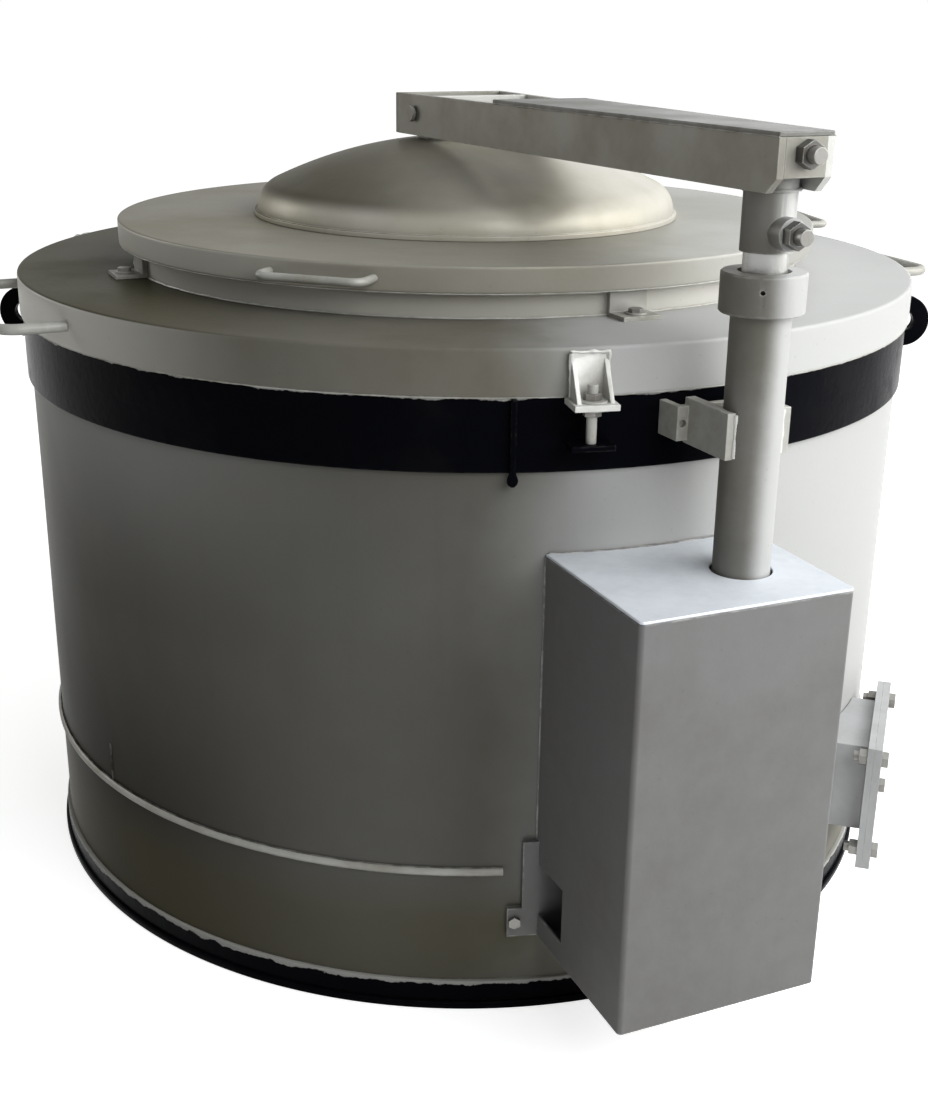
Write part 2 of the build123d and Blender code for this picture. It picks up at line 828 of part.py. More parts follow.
def make_arm_side(name, side):
    rear = arm_half_width(-arm_rear)
    outline = Polyline(
        (-arm_rear, side * (rear - arm_plate_across)),
        (-arm_rear, side * rear),
        (arm_length, side * arm_half_width_at_tip),
        (arm_length, side * (arm_half_width_at_tip - arm_plate_across)),
        close=True,
    )
    plate = Pos(0, 0, arm_bottom) * extrude(make_face(outline), arm_top - arm_bottom, dir=(0, 0, 1))
    corner = Plane.XZ * Polyline(
        (-arm_rear, arm_bottom),
        (-arm_rear + arm_rear_chamfer, arm_bottom),
        (-arm_rear, arm_bottom + arm_rear_chamfer),
        close=True,
    )
    plate -= extrude(make_face(corner), arm_half_width_at_tip, both=True)
    save(name, on_mast(plate - pin_hole()))


def between_sides(x_low, x_high, z_low, z_high):
    """A plate across the arm, trimmed to the side plates' inner faces."""
    low = arm_half_width(x_low) - arm_plate_across
    high = arm_half_width(x_high) - arm_plate_across
    outline = Polyline((x_low, -low), (x_high, -high), (x_high, high), (x_low, low), close=True)
    return Pos(0, 0, z_low) * extrude(make_face(outline), z_high - z_low, dir=(0, 0, 1))


def make_arm():
    spindle = disc(spindle_radius, thrust_top, arm_top)
    save("spindle", on_mast(spindle))

    sleeve = tube(sleeve_radius, spindle_radius + running_gap, sleeve_bottom, arm_top)
    boss = rod_along_x(set_boss_radius, -set_boss_length, 0, 0, lower_set_bolt_height)
    sleeve += boss - disc(spindle_radius + sleeve_wall / 2, sleeve_bottom, arm_top)
    upper_hole = rod_along_x(set_bolt_radius + fit_gap, -arm_rear - past, 0, 0, upper_set_bolt_height)
    lower_hole = rod_along_x(set_bolt_radius + fit_gap, -arm_rear - past, 0, 0, lower_set_bolt_height)
    sleeve -= upper_hole
    sleeve -= lower_hole
    save("arm_sleeve", on_mast(sleeve))

    make_arm_side("arm_side_near", 1)
    make_arm_side("arm_side_far", -1)
    cross = [between_sides(place, place + arm_plate, arm_bottom, arm_top)
             for place in (top_plate_end, far_cross_plate)]
    save("arm_cross_plates", *[on_mast(plate) for plate in cross])
    tip = block(arm_length, arm_length + arm_plate, -arm_half_width_at_tip, arm_half_width_at_tip,
                arm_bottom, arm_top)
    save("arm_end_plate", on_mast(tip))
    rear = between_sides(-arm_rear, -arm_rear + arm_plate, arm_bottom + arm_rear_chamfer, arm_top)
    save("arm_rear_plate", on_mast(rear - upper_hole))

    outline = Polyline(
        (-arm_rear, -arm_half_width(-arm_rear)),
        (top_plate_end + arm_plate, -arm_half_width(top_plate_end + arm_plate)),
        (top_plate_end + arm_plate, arm_half_width(top_plate_end + arm_plate)),
        (-arm_rear, arm_half_width(-arm_rear)),
        close=True,
    )
    top = Pos(0, 0, arm_top) * extrude(make_face(outline), top_plate_thickness, dir=(0, 0, 1))
    save("arm_top_plate", on_mast(top))

    bolts = []
    nuts = []
    for height, seat in ((upper_set_bolt_height, arm_rear), (lower_set_bolt_height, set_boss_length)):
        tip_x = -seat - 2 * set_nut_height
        shank = rod_along_x(set_bolt_radius, tip_x, -spindle_radius - running_gap, 0, height)
        nut = hexagon(set_nut_across_flats, set_nut_height)
        nut -= disc(set_bolt_radius + fit_gap, -past, set_nut_height + past)
        bolts.append(on_mast(shank))
        nuts.append(on_mast(Pos(-seat, 0, height) * Rot(Y=-90) * nut))
    save("sleeve_set_bolts", *bolts)
    save("sleeve_set_nuts", *nuts)


# Lid

def dome(offset, chords=0):
    """The dome's form, moved inwards by offset, as arcs or, hidden inside, as a few chords."""
    knuckle_centre = lid_radius - lid_knuckle_radius
    knuckle = lid_knuckle_radius
    rise = lid_apex_height - lid_edge_height
    crown = (knuckle_centre ** 2 + rise ** 2 - knuckle ** 2) / (2 * (rise - knuckle))
    edge_z = lid_bottom + lid_edge_height
    crown_z = lid_bottom + lid_apex_height - crown
    tangent = math.atan2(knuckle_centre, edge_z - crown_z)

    def on_crown(angle):
        radius = crown - offset
        return (radius * math.sin(angle), crown_z + radius * math.cos(angle))

    def on_knuckle(angle):
        radius = knuckle - offset
        return (knuckle_centre + radius * math.sin(angle), edge_z + radius * math.cos(angle))

    outer = lid_radius - offset
    knuckle_turn = math.pi / 2 - tangent
    if chords:
        crown_points = [on_crown(tangent * i / chords) for i in range(chords)]
        knuckle_points = [on_knuckle(tangent + knuckle_turn * i / chords) for i in range(chords + 1)]
        return turned(crown_points + knuckle_points + [(outer, lid_bottom), (0, lid_bottom)])
    outline = Curve() + [
        ThreePointArc(on_crown(0), on_crown(tangent / 2), on_crown(tangent)),
        ThreePointArc(on_crown(tangent), on_knuckle(tangent + knuckle_turn / 2), (outer, edge_z)),
        Line((outer, edge_z), (outer, lid_bottom)),
        Line((outer, lid_bottom), (0, lid_bottom)),
        Line((0, lid_bottom), on_crown(0)),
    ]
    return revolve(make_face(Plane.XZ * outline), Axis.Z)


def make_lid():
    save("lid_dome", dome(0) - dome(lid_sheet, hidden_chords))
    save("lid_insulation", dome(lid_sheet + fit_gap, hidden_chords))
    rim_inner = lid_radius + fit_gap
    rim = tube(rim_inner + lid_rim_width, rim_inner, lid_bottom, lid_bottom + lid_rim_height)
    save("lid_rim", rim)

    half = lug_width / 2
    lugs = []
    outer_form = dome(-fit_gap)
    lug_outer = arm_half_width(mast_distance - half) - arm_plate_across - lug_side_gap
    root = lid_bottom + lid_edge_height
    for side in (-1, 1):
        low, high = sorted((side * (lug_outer - lug_thickness), side * lug_outer))
        lug = block(mast_distance - half, mast_distance + half, low, high, root, pin_height)
        lug += rod_along_y(half, mast_distance, low, high, pin_height)
        lugs.append(on_mast(lug - pin_hole()) - outer_form)
    save("lid_lugs", *lugs)

    reach = arm_half_width(mast_distance + pin_head_radius) + pin_end_gap
    pin = rod_along_y(pin_radius, mast_distance, -reach, reach, pin_height)
    for side in (-1, 1):
        low, high = sorted((side * reach, side * (reach + pin_head_height)))
        pin += rod_along_y(pin_head_radius, mast_distance, low, high, pin_height)
    save("lid_pin", on_mast(pin))


# Burner port

def port_bolt_places():
    y = port_plate_half_width - port_bolt_inset_side
    for height in (port_plate_bottom + port_bolt_inset_end, port_plate_top - port_bolt_inset_end):
        yield -y, height
        yield y, height


def make_port():
    half = duct_width / 2
    duct = in_port(block(chamber_radius, port_flange_back, -half, half, duct_bottom, duct_top))
    save("port_duct", outside(duct - port_channel(), shell_radius + fit_gap))

    wide = port_plate_half_width
    flange = block(port_flange_back, port_plate_back, -wide, wide, port_plate_bottom, port_plate_top)
    plate = block(port_plate_back, port_plate_face, -wide, wide, port_plate_bottom, port_plate_top)
    bolts = []
    for y, height in port_bolt_places():
        hole = rod_along_x(port_bolt_radius + fit_gap, port_flange_back - past, port_plate_face + past, y, height)
        flange -= hole
        plate -= hole
        bolt_end = port_flange_back - port_nut_height - port_bolt_past_nut
        bolt = rod_along_x(port_bolt_radius, bolt_end, port_plate_face, y, height)
        head = hexagon(port_nut_across_flats, port_head_height)
        bolt += Pos(port_plate_face, y, height) * Rot(Y=90) * head
        nut = hexagon(port_nut_across_flats, port_nut_height)
        nut -= disc(port_bolt_radius + fit_gap, -past, port_nut_height + past)
        nut = Pos(port_flange_back, y, height) * Rot(Y=-90) * nut
        bolts += [in_port(bolt), in_port(nut)]
    save("port_flange", in_port(flange) - port_channel())
    save("port_plate", in_port(plate))
    save("port_bolts", *bolts)

    quarl_half = duct_inner_half_width - fit_gap
    quarl_top = channel_top - fit_gap
    quarl = block(chamber_radius, port_plate_back - fit_gap, -quarl_half, quarl_half, channel_bottom, quarl_top)
    middle = (channel_bottom + channel_top) / 2
    quarl -= rod_along_x(quarl_bore_radius, chamber_radius - past, port_plate_face, 0, middle)
    save("port_quarl", outside(in_port(quarl), backup_inner_radius))


make_base()
make_drum_shell()
make_drum_bead()
make_top_band()
make_cover_ring()
make_linings()
make_crucible()
make_mouth()
make_mouth_handles()
make_mouth_clamps()
make_hold_downs()
make_lifting_lugs()
make_cover_handles()
make_lift_box()
make_box_saddle()
make_mast()
make_lift()
make_tie()
make_arm()
make_lid()
make_port()
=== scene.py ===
# %% [markdown]
# # A crucible furnace, dressed for its picture
# The furnace is a lined steel drum with a cover, a raised mouth plate and a domed lid that
# hangs from an arm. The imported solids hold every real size. This script builds finer
# surfaces over them and gives each one its finish, cell by cell.

# %% Load the frame
import json
import math

import bmesh
import bpy
from mathutils import Matrix, Vector, noise


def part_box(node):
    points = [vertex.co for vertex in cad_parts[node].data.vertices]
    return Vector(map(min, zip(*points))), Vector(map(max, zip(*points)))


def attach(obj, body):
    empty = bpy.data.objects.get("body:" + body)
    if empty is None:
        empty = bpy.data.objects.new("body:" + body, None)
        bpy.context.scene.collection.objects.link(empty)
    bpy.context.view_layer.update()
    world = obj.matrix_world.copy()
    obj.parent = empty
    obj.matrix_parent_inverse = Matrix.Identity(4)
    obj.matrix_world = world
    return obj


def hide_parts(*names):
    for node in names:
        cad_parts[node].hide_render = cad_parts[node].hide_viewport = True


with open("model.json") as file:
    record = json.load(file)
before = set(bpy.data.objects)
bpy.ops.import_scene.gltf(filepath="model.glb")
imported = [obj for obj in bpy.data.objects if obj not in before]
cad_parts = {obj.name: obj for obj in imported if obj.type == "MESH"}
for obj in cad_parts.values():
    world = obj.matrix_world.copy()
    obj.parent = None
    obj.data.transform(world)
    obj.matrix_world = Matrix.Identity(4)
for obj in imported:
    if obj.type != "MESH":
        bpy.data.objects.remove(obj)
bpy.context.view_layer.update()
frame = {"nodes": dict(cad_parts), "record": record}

scene = bpy.context.scene

# %% [markdown]
# ## The camera
# The photograph was taken from in front and a little above, looking down at the cover. The
# camera's place and tilt were solved from the drum's ellipses, so the pieces line up. A
# small roll is kept, because the photographer did not hold the camera quite level.

# %% Camera
CAMERA_DISTANCE = 2.6272
CAMERA_HEIGHT = 1.4111
CAMERA_TILT_DOWN = 20.239
CAMERA_ROLL = 0.623
FOCAL_PIXELS = 1500.4
FRAME_HEIGHT = 1120
SENSOR = 36.0
PRINCIPAL_LEFT_OF_CENTRE = 2.44

camera_data = bpy.data.cameras.new("camera")
camera_data.sensor_width = SENSOR
camera_data.lens = FOCAL_PIXELS / FRAME_HEIGHT * SENSOR
camera_data.shift_x = PRINCIPAL_LEFT_OF_CENTRE / FRAME_HEIGHT
camera_data.clip_end = 100
camera = bpy.data.objects.new("camera", camera_data)
scene.collection.objects.link(camera)
look = Matrix.Rotation(math.radians(90 - CAMERA_TILT_DOWN), 4, "X")
roll = Matrix.Rotation(math.radians(CAMERA_ROLL), 4, "Z")
camera.matrix_world = Matrix.Translation((0, -CAMERA_DISTANCE, CAMERA_HEIGHT)) @ look @ roll
scene.camera = camera
print("lens", round(camera_data.lens, 2), "mm")

# %% [markdown]
# ## Node helpers
# A material is a graph of nodes. `put` makes one node, sets its plain inputs and links the
# ones that are given as sockets, so that each finish below reads like a recipe. `layer`
# lays a colour over another where a mask says so, which is how all the wear is built up.

# %% Putting nodes in a tree
MIX_FACTOR, MIX_FIRST, MIX_SECOND = 0, 6, 7


def put(tree, kind, inputs=None, **settings):
    made = tree.nodes.new(kind)
    for key, value in settings.items():
        setattr(made, key, value)
    for key, value in (inputs or {}).items():
        socket = made.inputs[key]
        if isinstance(value, bpy.types.NodeSocket):
            tree.links.new(value, socket)
        else:
            socket.default_value = value
    return made


def empty_tree(owner):
    """The node tree of a world or a material, with nothing in it."""
    owner.use_nodes = True
    owner.node_tree.nodes.clear()
    return owner.node_tree


def calculate(tree, operation, first, second=0.0):
    return put(tree, "ShaderNodeMath", {0: first, 1: second}, operation=operation).outputs[0]


def times(tree, first, second):
    return calculate(tree, "MULTIPLY", first, second)


def one_over(tree, value):
    return calculate(tree, "DIVIDE", 1.0, value)


def split_point(tree, vector):
    return put(tree, "ShaderNodeSeparateXYZ", {0: vector}).outputs


def opaque(colour):
    """A colour of three parts as a socket takes it; a socket stays as it is."""
    return colour if isinstance(colour, bpy.types.NodeSocket) else (*colour, 1)


def mix_colours(tree, factor, first, second):
    inputs = {MIX_FACTOR: factor, MIX_FIRST: opaque(first), MIX_SECOND: opaque(second)}
    return put(tree, "ShaderNodeMix", inputs, data_type="RGBA").outputs[2]


def layer(tree, below, mask, amount, colour):
    """Lays a colour over the one below, where a mask is bright and by an amount."""
    return mix_colours(tree, times(tree, mask, amount), below, colour)


def remap(tree, value, low, high, to_low=0.0, to_high=1.0):
    inputs = {"Value": value, "From Min": low, "From Max": high, "To Min": to_low, "To Max": to_high}
    return put(tree, "ShaderNodeMapRange", inputs, interpolation_type="SMOOTHSTEP").outputs["Result"]


def cloud(tree, vector, scale, detail=4.0, roughness=0.5):
    inputs = {"Vector": vector, "Scale": scale, "Detail": detail, "Roughness": roughness}
    return put(tree, "ShaderNodeTexNoise", inputs).outputs["Fac"]


# %% [markdown]
# ## Light and floor
# Aluminium paint is read by how light falls off over it, so large soft lamps matter more
# than strong ones. The photograph is lit mostly from the right, which makes the right sides
# bright and leaves the left of the drum dull. Each lamp is an area lamp that stands for a
# window, and a wide one, because a narrow one would draw the mast's shadow on the drum.

# %% Lamps
scene.view_settings.view_transform = "Standard"


def add_lamp(name, place, target, size, watts, colour):
    data = bpy.data.lights.new(name, "AREA")
    data.shape = "RECTANGLE"
    data.size, data.size_y = size
    data.energy = watts
    data.color = colour
    lamp = bpy.data.objects.new(name, data)
    scene.collection.objects.link(lamp)
    aim = (Vector(target) - Vector(place)).to_track_quat("-Z", "Y")
    lamp.matrix_world = Matrix.Translation(place) @ aim.to_matrix().to_4x4()
    print("lamp", name, watts, "W")


add_lamp("window_right", (3.3, -0.45, 1.8), (0.2, -0.3, 0.75), (2.6, 2.4), 82, (1.0, 0.99, 0.97))
add_lamp("window_side", (2.05, -2.2, 2.3), (0.3, -0.6, 0.8), (3.8, 1.8), 102, (0.97, 0.99, 1.0))
add_lamp("window_left", (-3.3, 1.5, 1.9), (-0.4, 0, 0.9), (1.6, 1.6), 36, (1.0, 0.99, 0.96))
add_lamp("window_back", (2.2, 3.0, 2.6), (0, 0, 0.9), (4.4, 2.6), 58, (0.97, 0.99, 1.0))
add_lamp("ceiling", (1.5, -0.9, 3.6), (0.5, -0.8, 0.8), (2.8, 2.4), 42, (0.93, 0.97, 1.0))
add_lamp("fill_front", (-1.6, -4.4, 2.4), (0, 0, 0.6), (2.6, 2.0), 3, (1.0, 0.98, 0.95))

# %% [markdown]
# The backdrop is white only for the rays that see it: those of the camera, of reflections
# and of glass. All other rays get a low grey, so that the white adds no light. The floor
# does the same, and glows more with distance, so that no horizon shows.

# %% World
WORLD_LEVEL = 0.075
WHITE = (1, 1, 1, 1)


def backdrop_rays(tree):
    """1 for the rays that see the backdrop: camera, glossy and transmission rays."""
    path = put(tree, "ShaderNodeLightPath")
    seen = calculate(tree, "MAXIMUM", path.outputs["Is Camera Ray"], path.outputs["Is Glossy Ray"])
    return calculate(tree, "MAXIMUM", seen, path.outputs["Is Transmission Ray"])


world = bpy.data.worlds.new("studio")
scene.world = world
tree = empty_tree(world)
light = put(tree, "ShaderNodeBackground", {"Color": WHITE, "Strength": WORLD_LEVEL})
white = put(tree, "ShaderNodeBackground", {"Color": WHITE, "Strength": 1.0})
both = put(tree, "ShaderNodeMixShader", {0: backdrop_rays(tree), 1: light.outputs[0], 2: white.outputs[0]})
put(tree, "ShaderNodeOutputWorld", {"Surface": both.outputs[0]})
print("world lights at", WORLD_LEVEL)

# %% Floor
FLOOR_HALF = 30.0
FLOOR_DROP = 0.0005
FLOOR_GLOW_FROM, FLOOR_GLOW_TO = 1.6, 5.0
FLOOR_GLOW_NEAR, FLOOR_GLOW_FAR = 0.72, 1.0

floor_mesh = bpy.data.meshes.new("floor")
corners = [(x * FLOOR_HALF, y * FLOOR_HALF, 0) for x, y in ((-1, -1), (1, -1), (1, 1), (-1, 1))]
floor_mesh.from_pydata(corners, [], [(0, 1, 2, 3)])
floor = bpy.data.objects.new("floor", floor_mesh)
scene.collection.objects.link(floor)
floor.location.z = -FLOOR_DROP

floor_material = bpy.data.materials.new("pale_floor")
tree = empty_tree(floor_material)
matt = put(tree, "ShaderNodeBsdfDiffuse", {"Color": (0.80, 0.80, 0.80, 1)})
place = put(tree, "ShaderNodeTexCoord").outputs["Object"]
away = put(tree, "ShaderNodeVectorMath", {0: place}, operation="LENGTH").outputs["Value"]
level = remap(tree, away, FLOOR_GLOW_FROM, FLOOR_GLOW_TO, FLOOR_GLOW_NEAR, FLOOR_GLOW_FAR)
glow = put(tree, "ShaderNodeEmission", {"Color": WHITE, "Strength": level})
lifted = put(tree, "ShaderNodeAddShader", {0: matt.outputs[0], 1: glow.outputs[0]})
shown = put(tree, "ShaderNodeMixShader", {0: backdrop_rays(tree), 1: matt.outputs[0], 2: lifted.outputs[0]})
put(tree, "ShaderNodeOutputMaterial", {"Surface": shown.outputs[0]})
floor_mesh.materials.append(floor_material)
print("floor is", 2 * FLOOR_HALF, "m square")

# %% [markdown]
# ## Effects that several finishes share
# Paint that was brushed and sprayed over rolled steel has clouds of tone, runs and a fine
# grain, and it wears through along its edges. Each of these is a node group with its own
# inputs, built once, so that every material can place it with its own values.

# %% Group helper


def new_group(name, amounts, outputs):
    """A node group that takes a vector and some amounts, and puts out masks and values."""
    group = bpy.data.node_groups.new(name, "ShaderNodeTree")
    group.interface.new_socket("Vector", in_out="INPUT", socket_type="NodeSocketVector")
    for label, value in amounts.items():
        socket = group.interface.new_socket(label, in_out="INPUT", socket_type="NodeSocketFloat")
        socket.default_value = value
    for label in outputs:
        group.interface.new_socket(label, in_out="OUTPUT", socket_type="NodeSocketFloat")
    entry = group.nodes.new("NodeGroupInput")
    exit_node = group.nodes.new("NodeGroupOutput")
    print("shared effect", name)
    return group, entry.outputs, exit_node.inputs


def use(tree, group, point, **amounts):
    return put(tree, "ShaderNodeGroup", {"Vector": point, **amounts}, node_tree=group).outputs


# %% Clouds of tone
clouds_group, given, out = new_group("tone_clouds", {"Size": 0.3, "Low": 0.4, "High": 0.65}, ["Mask"])
tree = clouds_group
broad = cloud(tree, given["Vector"], one_over(tree, given["Size"]), 5.0, 0.55)
tree.links.new(remap(tree, broad, given["Low"], given["High"]), out["Mask"])

# %% Runs and streaks, drawn out downwards
amounts = {"Width": 0.03, "Length": 0.6, "Low": 0.5, "High": 0.7}
streaks_group, given, out = new_group("streaks", amounts, ["Mask"])
tree = streaks_group
split = split_point(tree, given["Vector"])
wide, tall = one_over(tree, given["Width"]), one_over(tree, given["Length"])
parts = {0: times(tree, split[0], wide), 1: times(tree, split[1], wide), 2: times(tree, split[2], tall)}
squeezed = put(tree, "ShaderNodeCombineXYZ", parts).outputs[0]
lines = cloud(tree, squeezed, 1.0, 3.0, 0.5)
tree.links.new(remap(tree, lines, given["Low"], given["High"]), out["Mask"])

# %% Worn edges, found by comparing the face with a rounded copy of itself
wear_group, given, out = new_group("edge_wear", {"Width": 0.004, "Breaks": 0.02}, ["Mask"])
tree = wear_group
rounded_normal = put(tree, "ShaderNodeBevel", {"Radius": given["Width"]}, samples=4).outputs[0]
flat_normal = put(tree, "ShaderNodeNewGeometry").outputs["Normal"]
same = put(tree, "ShaderNodeVectorMath", {0: rounded_normal, 1: flat_normal}, operation="DOT_PRODUCT")
edge = remap(tree, same.outputs["Value"], 0.995, 0.90)
broken = remap(tree, cloud(tree, given["Vector"], one_over(tree, given["Breaks"]), 4.0, 0.6), 0.40, 0.62)
tree.links.new(times(tree, edge, broken), out["Mask"])

# %% Fine grain of sprayed paint, and small specks of dirt
FLAKE_SHARE = 0.35
amounts = {"Flake": 0.0016, "Peel": 0.009, "Speck": 0.012}
grain_group, given, out = new_group("paint_grain", amounts, ["Height", "Specks", "Glint"])
tree = grain_group
fine = cloud(tree, given["Vector"], one_over(tree, given["Flake"]), 2.0, 0.5)
peel = cloud(tree, given["Vector"], one_over(tree, given["Peel"]), 2.0, 0.5)
height = calculate(tree, "ADD", times(tree, fine, FLAKE_SHARE), peel)
tree.links.new(height, out["Height"])
tree.links.new(remap(tree, fine, 0.35, 0.70), out["Glint"])
speck_inputs = {"Vector": given["Vector"], "Scale": one_over(tree, given["Speck"]), "Randomness": 1.0}
cells = put(tree, "ShaderNodeTexVoronoi", speck_inputs, feature="F1").outputs
chosen = put(tree, "ShaderNodeSeparateColor", {0: cells["Color"]}).outputs[0]
near = remap(tree, cells["Distance"], 0.16, 0.07)
rare = remap(tree, chosen, 0.80, 0.86)
tree.links.new(times(tree, near, rare), out["Specks"])

# %% A ragged line at a height, where one paint was laid over another
LINE_BLUR = 0.0008
amounts = {"Height": 0.9, "Reach": 0.01, "Wave": 0.05}
ragged_group, given, out = new_group("ragged_line", amounts, ["Above"])
tree = ragged_group
level = split_point(tree, given["Vector"])[2]
wave = cloud(tree, given["Vector"], one_over(tree, given["Wave"]), 4.0, 0.65)
moved = times(tree, calculate(tree, "SUBTRACT", wave, 0.5), given["Reach"])
over = calculate(tree, "SUBTRACT", calculate(tree, "ADD", level, moved), given["Height"])
tree.links.new(remap(tree, over, -LINE_BLUR, LINE_BLUR), out["Above"])

# %% [markdown]
# ## Silver aluminium paint
# The same tin of paint covers the drum, the cover, the dome, the arm and the box, but it
# looks different on each, and light and shade are painted into its colour: painted shade with
# an olive tint on the flat tops of the left side, painted light on upright faces of the left and
# under the mouth's rim, painted light above and a darker tone below on the drum's left, and
# painted light towards the right, where the light falls strongest. One recipe with a few named
# amounts gives all of them. Its masks come from the place on the object and from the way a
# face points, so they stay put when the lid moves.

# %% Starting and finishing a material


def start_material(name):
    material = bpy.data.materials.new(name)
    tree = empty_tree(material)
    shader = put(tree, "ShaderNodeBsdfPrincipled")
    put(tree, "ShaderNodeOutputMaterial", {"Surface": shader.outputs[0]})
    point = put(tree, "ShaderNodeTexCoord").outputs["Object"]
    print("finish", name)
    return material, tree, shader, point


def finish_material(tree, shader, colour, roughness, height, depth, metal=0.0):
    """Connects what every finish has: a colour, a roughness and fine bumps."""
    made = put(tree, "ShaderNodeBump", {"Height": height, "Distance": depth, "Strength": 1.0})
    tree.links.new(colour, shader.inputs["Base Color"])
    tree.links.new(roughness, shader.inputs["Roughness"])
    tree.links.new(made.outputs["Normal"], shader.inputs["Normal"])
    shader.inputs["Metallic"].default_value = metal


def dim_reflection(shader, level, tint):
    """Old paint reflects much less than a clean gloss does."""
    shader.inputs["Specular IOR Level"].default_value = level
    shader.inputs["Specular Tint"].default_value = (tint, tint, tint, 1)


def clouds(tree, point, size, low, high):
    return use(tree, clouds_group, point, Size=size, Low=low, High=high)["Mask"]


# %% Colours that are laid over the silver, several of them painted light and shade
# Painted shade with an olive tint, for the upward faces on the left.
OLIVE_PAINTED_SHADE = (0.050, 0.046, 0.025)
FLOOR_DIRT = (0.080, 0.072, 0.038)
# A darker tone for the lower left of the drum.
LOWER_DARKENING = (0.034, 0.032, 0.026)
SPECK = (0.04, 0.036, 0.03)
# Painted light: a paler silver, laid towards the right.
PAINTED_LIGHT_SILVER = (0.420, 0.420, 0.410)
# Painted light for the upper left of the drum.
PAINTED_EDGE_LIGHT = (0.300, 0.298, 0.284)
# Painted light for upright faces.
SIDE_PAINTED_LIGHT = (0.700, 0.686, 0.636)
BARE_EDGE = (0.60, 0.59, 0.57)

RUN_SHADE = 0.70
PALER = 1.25
PALER_AMOUNT = 0.16
RAGGED_SHARE = 0.20
RAGGED_HEIGHT = 0.06
# How strong the painted light and the darker tone on the left are.
LIGHT_AND_DARK_AMOUNT = 0.85
# Painted light for the upright faces under the mouth's rim, which lie in its shade.
PAINTED_LIGHT_BELOW_AMOUNT = 0.40
PAINTED_LIGHT_BELOW_BLUR = 0.004
DIRT_FADE = 0.10
PEEL_DEPTH = 0.00018

# %% Painted light and shade by place


def across(tree, x, dull, start, end):
    """0 to 1 from one X to another, with an edge that the clouds of tone make ragged."""
    drift = times(tree, dull, RAGGED_SHARE * abs(end - start))
    if end < start:
        return remap(tree, calculate(tree, "ADD", x, drift), start, end)
    return remap(tree, calculate(tree, "SUBTRACT", x, drift), start, end)


def light_above_dark_below(tree, colour, split, dull, start, end, low, high):
    """Painted light above and a darker tone below, towards one side."""
    middle = (low + high) / 2
    level = calculate(tree, "ADD", split[2], times(tree, dull, RAGGED_HEIGHT))
    side = remap(tree, split[0], start, end)
    pale = times(tree, side, remap(tree, level, middle, high))
    lower_dark = times(tree, side, remap(tree, level, middle, low))
    colour = layer(tree, colour, pale, LIGHT_AND_DARK_AMOUNT, PAINTED_EDGE_LIGHT)
    return layer(tree, colour, lower_dark, LIGHT_AND_DARK_AMOUNT, LOWER_DARKENING)


# %% Silver paint


def silver_paint(name, tone, dull_tone, size=0.35, metal=0.15, rough=0.38, wear=0.30, tint=0.30,
                 olive_painted_shade=None, painted_light_right=None, upright=None, lit_above_dark_below=None, painted_light_below=None, dirt_below=None):
    """The painted shade, the painted light on the right and the painted light on upright faces are each the
    X where it starts, the X where it is full, and its amount.
    """
    material, tree, shader, point = start_material(name)
    split = split_point(tree, point)
    dull = clouds(tree, point, size, 0.34, 0.72)
    small = clouds(tree, point, size / 7, 0.30, 0.80)
    runs = use(tree, streaks_group, point, Width=0.030, Length=0.80, Low=0.50, High=0.75)["Mask"]
    grain = use(tree, grain_group, point)
    worn = use(tree, wear_group, point)["Mask"]
    colour = mix_colours(tree, dull, tone, dull_tone)
    colour = layer(tree, colour, runs, 0.06, tuple(part * RUN_SHADE for part in dull_tone))
    colour = layer(tree, colour, small, PALER_AMOUNT, tuple(min(1.0, part * PALER) for part in tone))
    normal = put(tree, "ShaderNodeNewGeometry").outputs["Normal"]
    facing_up = remap(tree, split_point(tree, normal)[2], 0.35, 0.80)
    facing_out = calculate(tree, "SUBTRACT", 1.0, facing_up)
    # Painted shade: upward faces towards the left get an olive darkening, for the little light they catch.
    if olive_painted_shade:
        side = across(tree, split[0], dull, *olive_painted_shade[:2])
        colour = layer(tree, colour, times(tree, side, facing_up), olive_painted_shade[2], OLIVE_PAINTED_SHADE)
    # Painted light: upright faces towards the left are made paler.
    if upright:
        side = remap(tree, split[0], *upright[:2])
        colour = layer(tree, colour, times(tree, side, facing_out), upright[2], SIDE_PAINTED_LIGHT)
    # Painted light: paler silver towards the right, where the light falls strongest.
    if painted_light_right:
        colour = layer(tree, colour, across(tree, split[0], dull, *painted_light_right[:2]), painted_light_right[2], PAINTED_LIGHT_SILVER)
    # Painted light above and a darker tone below, on the left.
    if lit_above_dark_below:
        colour = light_above_dark_below(tree, colour, split, dull, *lit_above_dark_below)
    # Painted light: upright faces below the rim, which lie in the rim's shade, are made paler.
    if painted_light_below:
        under = times(tree, remap(tree, split[2], painted_light_below, painted_light_below - PAINTED_LIGHT_BELOW_BLUR), facing_out)
        colour = layer(tree, colour, under, PAINTED_LIGHT_BELOW_AMOUNT, SIDE_PAINTED_LIGHT)
    if dirt_below:
        low = remap(tree, split[2], dirt_below, dirt_below - DIRT_FADE)
        colour = layer(tree, colour, low, remap(tree, dull, 0.0, 1.0, 0.45, 0.75), FLOOR_DIRT)
    colour = layer(tree, colour, grain["Specks"], 0.14, SPECK)
    colour = layer(tree, colour, worn, wear, BARE_EDGE)
    roughness = remap(tree, dull, 0.0, 1.0, rough, rough + 0.10)
    roughness = calculate(tree, "SUBTRACT", roughness, times(tree, grain["Glint"], 0.05))
    finish_material(tree, shader, colour, roughness, grain["Height"], PEEL_DEPTH, metal)
    dim_reflection(shader, 0.012, tint)
    return material


# %% The silver of each piece
RIM_UNDERSIDE = 1.043
